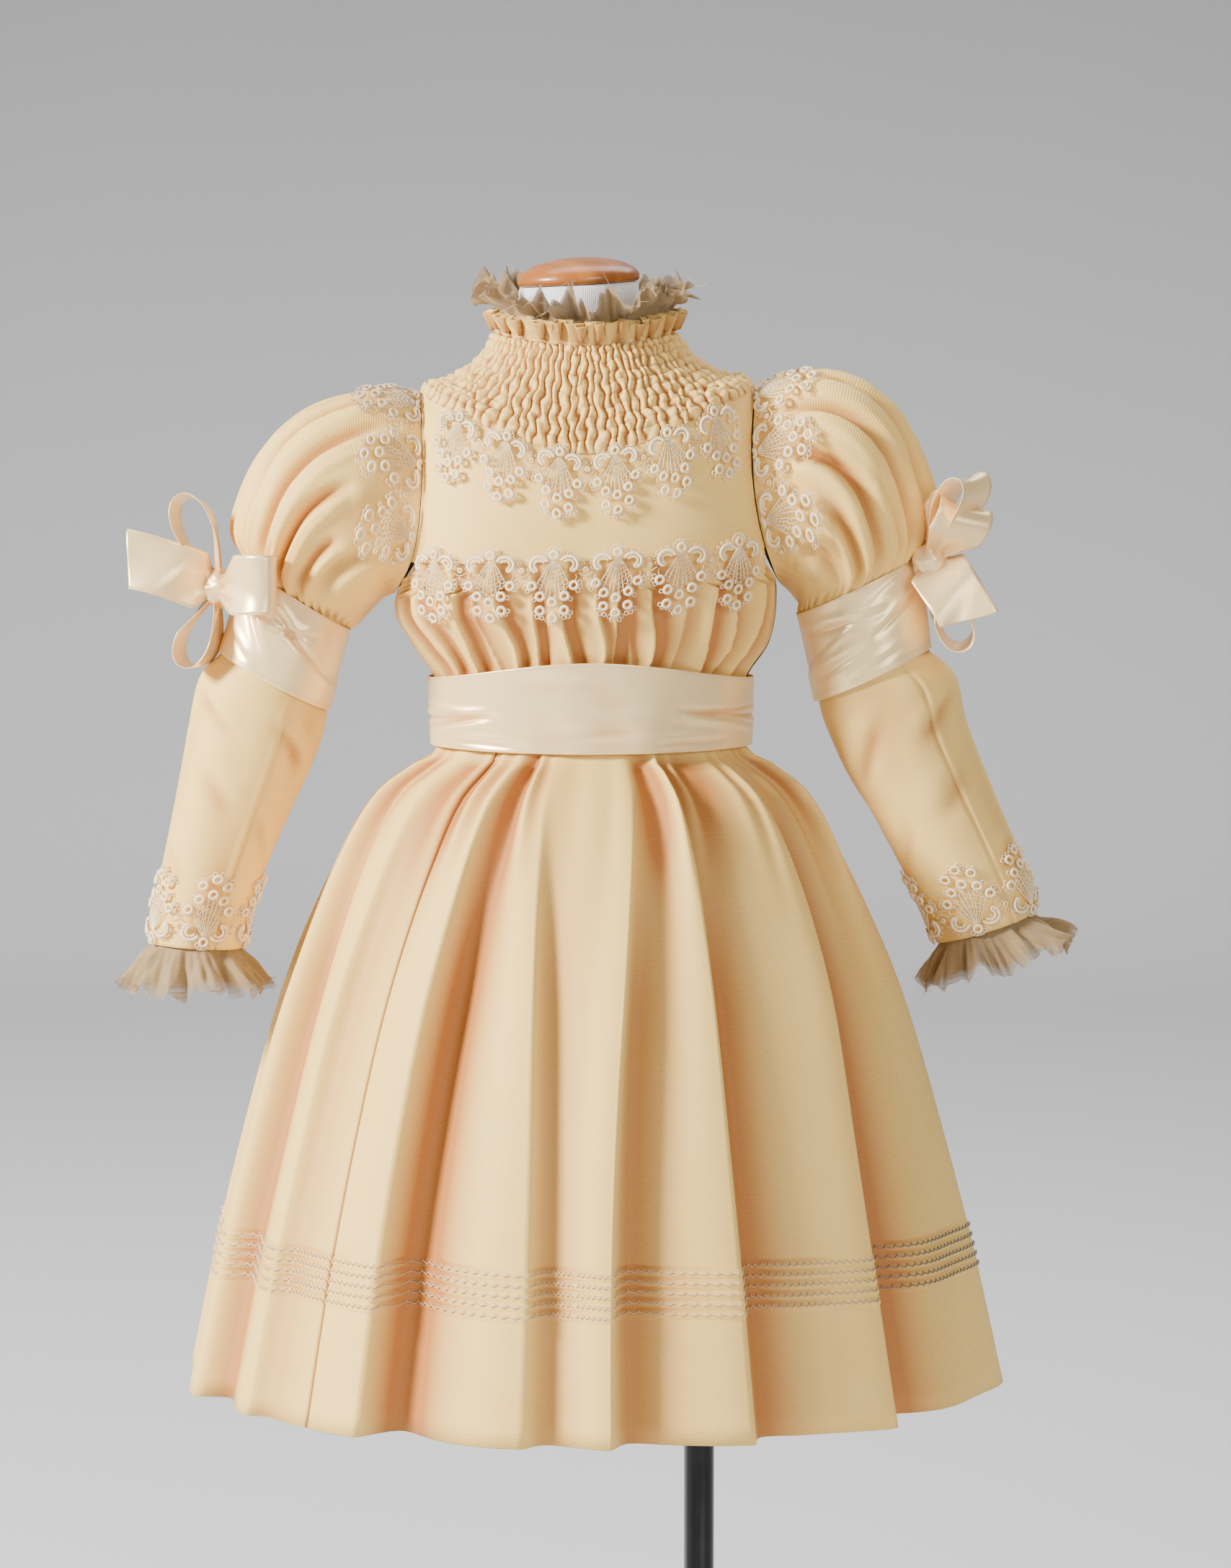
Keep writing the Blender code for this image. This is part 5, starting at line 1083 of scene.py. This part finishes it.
def lace_row(name, surface, teeth, start, end, edge_level, before_level, far_level, lift, nodes,
             depth_scale=1.0):
    """One row of lace, laid on a surface from its edge level towards the far level."""
    angles = np.linspace(start, end, TOOTH_STEPS * teeth + 1)
    run = way(surface(angles, np.full_like(angles, edge_level)))
    angles = np.interp(np.linspace(0.0, run[-1], TOOTH_STEPS * teeth + 1), run, angles)
    steps = np.linspace(before_level, far_level, 90)
    length = way(surface(*np.meshgrid(angles, steps)))
    length = length - length[int(np.argmin(np.abs(steps - edge_level)))]
    drops = np.linspace(-0.006, 0.044, 34)
    row_levels = np.array([np.interp(drops * depth_scale, column, steps) for column in length.T]).T
    placed = surface(np.broadcast_to(angles, row_levels.shape), row_levels)
    out = outward(placed, False)
    placed = placed + out * lift

    def at(flat):
        across = np.clip(flat[:, 0] / TOOTH_PITCH * TOOTH_STEPS, 0.0, TOOTH_STEPS * teeth - 0.001)
        down = np.clip((flat[:, 1] / 1000.0 - drops[0]) / (drops[1] - drops[0]), 0.0, len(drops) - 1.001)
        column = across.astype(int)
        row = down.astype(int)
        a = (across - column)[:, None]
        d = (down - row)[:, None]
        values = []
        for grid in (placed, out):
            upper = grid[row, column] * (1 - a) + grid[row, column + 1] * a
            lower = grid[row + 1, column] * (1 - a) + grid[row + 1, column + 1] * a
            values.append(upper * (1 - d) + lower * d)
        return values

    source = np.random.default_rng(len(name) + teeth)
    for lines, sides in zip(lace_tooth(), (5, 3)):
        made = []
        for tooth in range(teeth):
            stretch = 1.0 + source.uniform(-0.03, 0.03)
            for line in lines:
                flat = line.points * (1.0, stretch) + ((tooth + 0.5) * TOOTH_PITCH, 0.0)
                middle, normal = at(flat)
                height = line.raised / 1000.0 + 0.00025 * math.sin(flat[0, 0] * 0.9 + flat[0, 1] * 0.7)
                made.append((middle + normal * height, normal, line.radius / 1000.0, line.closed))
        tubes(f"{name}_{'cords' if sides == 5 else 'net'}", made, sides, lace_paint.material,
                            "lace")
    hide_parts(*nodes)


def on_body(angle, level):
    """Point on the body's own surface."""
    return body_points(TORSO, angle, level)


lace_paint = cord_lace()
for name, start, end, edge, before, far, under in (
        ("lace_neck_front", -62.0, 62.0, 3.07, 2.6, 5.0, "yoke_front_cloth"),
        ("lace_neck_back", 118.0, 242.0, 3.07, 2.6, 5.0, "yoke_back_cloth"),
        ("lace_yoke_front", -64.0, 63.0, 4.92, 4.5, 7.2, "bodice_front_cloth"),
        ("lace_yoke_back", 117.0, 243.0, 4.92, 4.5, 7.2, "bodice_back_cloth")):
    lace_row(name, on_body, 6, start, end, edge, before, far, 0.0026, [name])
for label, side, puff, lower in (("left", -1, PUFF_LEFT, LOWER_LEFT), ("right", 1, PUFF_RIGHT, LOWER_RIGHT)):
    def on_puff(angle, level, puff=puff, side=side):
        angle, level = np.broadcast_arrays(angle, level)
        past_seam = np.maximum(-level, 0.0)
        body_level = ARMHOLE_MIDDLE - (ARMHOLE_REACH + 0.5 * past_seam) * np.cos(np.radians(angle))
        body_angle = side * (90.0 - (ARMHOLE_ANGLE + 14.0 * past_seam) * np.sin(np.radians(angle)))
        beside = body_points(TORSO, body_angle, body_level)
        return np.where(level[..., None] < 0.0, beside, puff_points(puff, side, angle, level))

    def on_lower(angle, level, lower=lower):
        return arm_points(lower, angle, level)

    lace_row(f"lace_cap_{label}", on_puff, 6, -128.0, 128.0, 0.08, -0.4, 5.0, 0.0032,
             [f"lace_cap_{label}"])
    lace_row(f"lace_cuff_{label}", on_lower, 5, -7.0, 352.0, 6.75, 7.0, 3.0, 0.0012,
             [f"lace_cuff_{label}_front", f"lace_cuff_{label}_back"], 1.08)


# Bows: satin ribbon with picot edges, tied in a knot on each arm band, with two or three
# limp loops and one tail each. The ribbon is pinched into pleats where it goes into the knot.
Ribbon = namedtuple("Ribbon", "name tip_x tip_y tip_z wide_x wide_y wide_z opening cut")
KNOT_LEFT = (-0.2270, -0.0160, 0.7844)
KNOT_RIGHT = (0.2052, -0.0284, 0.8026)
BOW_LEFT = named_rows(Ribbon, (
    ("tail", -0.0540, -0.0150, 0.0190, -0.15, 0.15, 0.97, -0.0080, 0.062),
    ("upper_loop", -0.0200, 0.0110, 0.0540, 0.05, 0.98, -0.10, 0.0100, 0.115),
    ("front_loop", 0.0340, -0.0500, 0.0040, 0.10, 0.00, 0.99, 0.0103, 0.120),
    ("lower_loop", -0.0180, 0.0000, -0.0470, 0.10, 0.99, 0.00, 0.0090, 0.100),
))
BOW_RIGHT = named_rows(Ribbon, (
    ("small_loop", 0.0235, -0.0200, 0.0490, 0.35, 0.85, -0.10, 0.0075, 0.108),
    ("side_loop", 0.0205, -0.0180, 0.0320, 0.93, 0.10, 0.00, 0.0105, 0.090),
    ("tail", 0.0230, -0.0200, -0.0360, 0.85, 0.15, 0.45, 0.0060, 0.050),
    ("lower_loop", 0.0220, 0.0040, -0.0520, 0.00, 0.99, 0.10, 0.0100, 0.112),
))
KNOT_SIZE = (0.0105, 0.0092, 0.0115)
RIBBON_WIDTH = 0.036
RIBBON_THICKNESS = 0.0005


def ribbon_middle(row, is_loop, share):
    """Middle line of a bow's loop or tail, away from its knot."""
    share = np.asarray(share)[..., None]
    tip = np.array((row.tip_x, row.tip_y, row.tip_z))
    aside = unit(np.cross(tip, (row.wide_x, row.wide_y, row.wide_z))) * row.opening
    if is_loop:
        return tip * np.sin(math.pi * share) + aside * np.sin(2.0 * math.pi * share)
    return tip * share + aside * np.sin(math.pi * share)


def ribbon_grid(row, knot, is_loop, seed):
    """Grid of points of one ribbon, with pleats at its root and soft waves."""
    across = np.linspace(-1.0, 1.0, 15)
    if is_loop:
        share = np.linspace(0.03, 0.97, 70)[:, None] + 0.0 * across
    else:
        share = np.minimum(np.linspace(0.04, 1.0, 48)[:, None] * (1.0 + 0.09 * across), 1.08)
    tip = np.array((row.tip_x, row.tip_y, row.tip_z))
    wide = np.array((row.wide_x, row.wide_y, row.wide_z))
    wide = unit(wide - tip * np.dot(wide, tip) / np.dot(tip, tip))
    middle = ribbon_middle(row, is_loop, share)
    along = ribbon_middle(row, is_loop, share + 0.01) - ribbon_middle(row, is_loop, share - 0.01)
    normal = np.cross(unit(along), wide)
    free = np.minimum(share, 1.0 - share) if is_loop else share
    open_share = np.clip(free / 0.22, 0.0, 1.0)
    width = RIBBON_WIDTH * (0.20 + 0.80 * open_share)
    pleats = 0.0022 * (1.0 - open_share) ** 0.7 * np.cos(across * 7.5 + seed)
    waves = open_share * (0.0012 * np.sin(across * 2.2 + share * 9.0 + seed) + 0.0016 * across ** 2)
    points = np.array(knot) + middle + wide * (across * 0.5)[None, :, None] * width[..., None]
    # Painted shade: the ribbon is painted darker where it is pinched into pleats at the knot.
    return points + normal * (pleats + waves)[..., None], (1.0 - open_share) * 0.8


def knot_grid(knot):
    """Rounded knot with wrapped folds."""
    turn, rise = np.meshgrid(np.radians(np.arange(0, 360, 10)), np.radians(np.linspace(-88, 88, 20)))
    groove = 1.0 + 0.07 * np.cos(5.0 * turn + 3.0 * rise) + 0.04 * np.cos(9.0 * rise)
    round_part = np.stack((np.cos(rise) * np.cos(turn), np.cos(rise) * np.sin(turn), np.sin(rise)), -1)
    return round_part * KNOT_SIZE * groove[..., None] + np.array(knot)


bow_satin = satin("bow satin", 0.6, (0.0009, 0.0351))
for label, rows, knot in (("left", BOW_LEFT, KNOT_LEFT), ("right", BOW_RIGHT, KNOT_RIGHT)):
    for k, row in enumerate(rows):
        points, hollow = ribbon_grid(row, knot, row.name.endswith("loop"), k * 1.3)
        cloth_piece(f"bow_{label}_{row.name}", np.swapaxes(points, 0, 1), False, hollow.T, bow_satin, None,
                    "satin", RIBBON_THICKNESS, flat=(RIBBON_WIDTH, row.cut), held="folded")
    new_piece(f"bow_{label}_knot", grid_mesh(f"bow_{label}_knot", knot_grid(knot), True), bow_satin.material,
              [f"bow_{label}"], "satin")


# Dress form: a limbless torso and neck of foam under white cotton jersey, closed by a turned
# beech cap with an oiled gloss and a diagonal grain.
CAP_CENTRE = (-0.0074, 0.0, 0.9722)
CAP_RADIUS = 0.0373
CAP_LEAN = math.radians(3.2)
CAP_NOD = math.radians(2.0)
FORM_COLUMNS = 72
FORM_ROWS = 70
FORM_NECK = ((0.9688, 0.0350, 0.0350, -0.0074), (0.9660, 0.0366, 0.0366, -0.0074),
             (0.9500, 0.0366, 0.0366, -0.0066), (0.9380, 0.0385, 0.0375, -0.0055),
             (0.9280, 0.0440, 0.0410, -0.0045))
FORM_INSETS = ((1.0, 0.0080), (1.5, 0.0052), (2.0, 0.0037), (2.5, 0.0034), (3.0, 0.0040), (3.5, 0.0066),
               (4.0, 0.0070), (5.0, 0.0080), (6.0, 0.0100), (7.0, 0.0085), (8.0, 0.0065), (9.0, 0.0050))
FORM_HIPS = ((0.6700, 0.0900, 0.0690, 0.0), (0.6250, 0.0935, 0.0725, 0.0), (0.5800, 0.0945, 0.0735, 0.0),
             (0.5560, 0.0930, 0.0720, 0.0), (0.5460, 0.0860, 0.0650, 0.0))


def upright_ring(turns, ring, leaning):
    """Ring of points round the form's neck or hips."""
    height, half_width, half_depth, centre_x = ring
    x = half_width * np.sin(np.radians(turns)) + centre_x
    y = -half_depth * np.cos(np.radians(turns))
    rise = math.tan(CAP_LEAN) * (x - centre_x) + math.tan(CAP_NOD) * y
    return np.stack((x, y, height + leaning * rise), axis=-1)


form_turns = np.arange(FORM_COLUMNS) * 360.0 / FORM_COLUMNS
form_rows = [upright_ring(form_turns, ring, 1.0) for ring in FORM_NECK]
for form_level, inset in FORM_INSETS:
    near = body_points(TORSO, *round_grid(FORM_COLUMNS, form_level - 0.01, form_level + 0.01, 3))
    form_rows.append(near[1] - outward(near, True)[1] * inset)
form_rows += [upright_ring(form_turns, ring, 0.0) for ring in FORM_HIPS]
form_rows = np.array(form_rows)
fine_places = np.linspace(0.0, len(form_rows) - 1.0, FORM_ROWS)
form_points = read_rows(form_rows.reshape(len(form_rows), -1), fine_places)
form_points = form_points.reshape(FORM_ROWS, FORM_COLUMNS, 3)
form_top = form_points[:1] * (0.02, 0.02, 1.0) + form_points[:1].mean(axis=1) * (0.98, 0.98, 0.0)
form_points = np.concatenate((form_top, form_points, form_points[-1:] * (0.02, 0.02, 1.0)))
jersey = Paint("white jersey", Roughness=0.85, Sheen_Weight=0.35, Specular_IOR_Level=0.2)
jersey_cloth = jersey.cloth()
jersey_x = jersey.part(jersey_cloth, "X") * 5200.0
jersey_y = jersey.part(jersey_cloth, "Y") * 4100.0
knit = jersey.wave(jersey_x + jersey.wave(jersey_y) * 0.9)
jersey_colour = jersey.mix(jersey.noise(jersey.place(), 12.0), (0.84, 0.83, 0.82), (0.90, 0.895, 0.885))
jersey.finish(jersey_colour, None, knit, 0.5, 0.0003)
new_piece("form_jersey", grid_mesh("form_jersey", form_points, True), jersey.material, ["dress_form"],
          "jersey")


def turned(name, profile, segments):
    """Mesh turned from a profile of radius and height, with its ends closed."""
    turns = np.arange(segments) * 2.0 * math.pi / segments
    points = np.array([[(radius * math.cos(t), radius * math.sin(t), height) for t in turns]
                       for radius, height in profile])
    return grid_mesh(name, points, True)


beech = Paint("oiled beech", Coat_Weight=0.25, Coat_Roughness=0.15, Specular_IOR_Level=0.4)
beech_place = beech.place()
slanted = beech.node("ShaderNodeVectorRotate", {"rotation_type": "Z_AXIS"},
                     {"Vector": beech_place, "Angle": math.radians(52.0)})
grain = beech.noise(beech.stretched(slanted, 26.0, 420.0, 60.0), 1.0, 4.0, 0.55)
broad = beech.noise(beech.stretched(slanted, 6.0, 70.0, 20.0), 1.0, 2.0)
flecks = beech.noise(beech.stretched(slanted, 300.0, 2600.0, 300.0), 1.0, 2.0)
beech_colour = beech.mix(beech.ramp(broad, 0.3, 0.7), (0.28, 0.075, 0.009), (0.43, 0.145, 0.022))
beech_colour = beech.mix(beech.ramp(grain, 0.62, 0.72, 0.0, 0.65), beech_colour, (0.78, 0.40, 0.14))
beech_colour = beech.mix(beech.ramp(flecks, 0.62, 0.75, 0.0, 0.4), beech_colour, (0.26, 0.09, 0.03))
beech.finish(beech_colour, beech.ramp(grain, 0.3, 0.7, 0.30, 0.42), grain, 0.1, 0.0002)
cap_arc = [(CAP_RADIUS * math.sin(math.radians(t)), 0.013 * math.cos(math.radians(t)))
           for t in np.linspace(0.6, 90.0, 24)]
cap_profile = cap_arc + [(CAP_RADIUS - 0.0001, -0.0010), (CAP_RADIUS - 0.0006, -0.0022),
                         (CAP_RADIUS - 0.0016, -0.0030), (0.0004, -0.0030)]
cap_mesh = turned("cap", cap_profile, 96)
cap_lean = np.array(((math.cos(-CAP_LEAN), 0, math.sin(-CAP_LEAN)), (0, 1, 0),
                     (-math.sin(-CAP_LEAN), 0, math.cos(-CAP_LEAN))))
cap_nod = np.array(((1, 0, 0), (0, math.cos(CAP_NOD), -math.sin(CAP_NOD)),
                    (0, math.sin(CAP_NOD), math.cos(CAP_NOD))))
for vertex in cap_mesh.vertices:
    vertex.co = cap_lean @ (cap_nod @ np.array(vertex.co)) + np.array(CAP_CENTRE)
new_piece("cap_beech", cap_mesh, beech.material, ["neck_cap"], "wood")


# Stand: a gloss black steel pole off the form's middle, screwed with a small flange to a
# heavy round plate. Fine dust and faint scratches dull the plate's upper face.
POLE_X = 0.067
BASE_HEIGHT = 0.008
enamel = Paint("black enamel", Coat_Weight=0.8, Coat_Roughness=0.05, Specular_IOR_Level=0.5)
enamel_place = enamel.place()
dust = enamel.ramp(enamel.noise(enamel_place, 35.0, 6.0, 0.6), 0.45, 0.8, 0.0, 0.10)
enamel_colour = enamel.mix(dust, (0.010, 0.010, 0.011), (0.16, 0.16, 0.16))
scratches = enamel.noise(enamel.stretched(enamel_place, 900.0, 40.0, 12.0), 1.0, 2.0)
enamel.finish(enamel_colour, enamel.ramp(scratches, 0.3, 0.7, 0.16, 0.26), scratches, 0.03, 0.0001)
plate_profile = [(0.0005, BASE_HEIGHT), (0.1480, BASE_HEIGHT), (0.1492, BASE_HEIGHT - 0.0003),
                 (0.1500, BASE_HEIGHT - 0.0015), (0.1500, 0.0006), (0.1494, 0.0), (0.0005, 0.0)]
plate = new_piece("plate_enamel", turned("plate", plate_profile, 128), enamel.material, ["base_plate"],
                  "enamel")
foot = BASE_HEIGHT + 0.0003
pole_profile = [(0.0005, 0.5457), (0.0088, 0.5457), (0.0095, 0.5450), (0.0095, foot + 0.0150),
                (0.0102, foot + 0.0135), (0.0140, foot + 0.0112), (0.0200, foot + 0.0077),
                (0.0250, foot + 0.0042), (0.0260, foot + 0.0028), (0.0260, foot), (0.0005, foot)]
pole_mesh = turned("pole", pole_profile, 64)
for vertex in pole_mesh.vertices:
    vertex.co.x += POLE_X
pole_piece = new_piece("pole_enamel", pole_mesh, enamel.material, ["pole"], "enamel")
for piece in (plate, pole_piece):
    edge_split = piece.modifiers.new("crisp edges", "EDGE_SPLIT")
    edge_split.split_angle = math.radians(40.0)
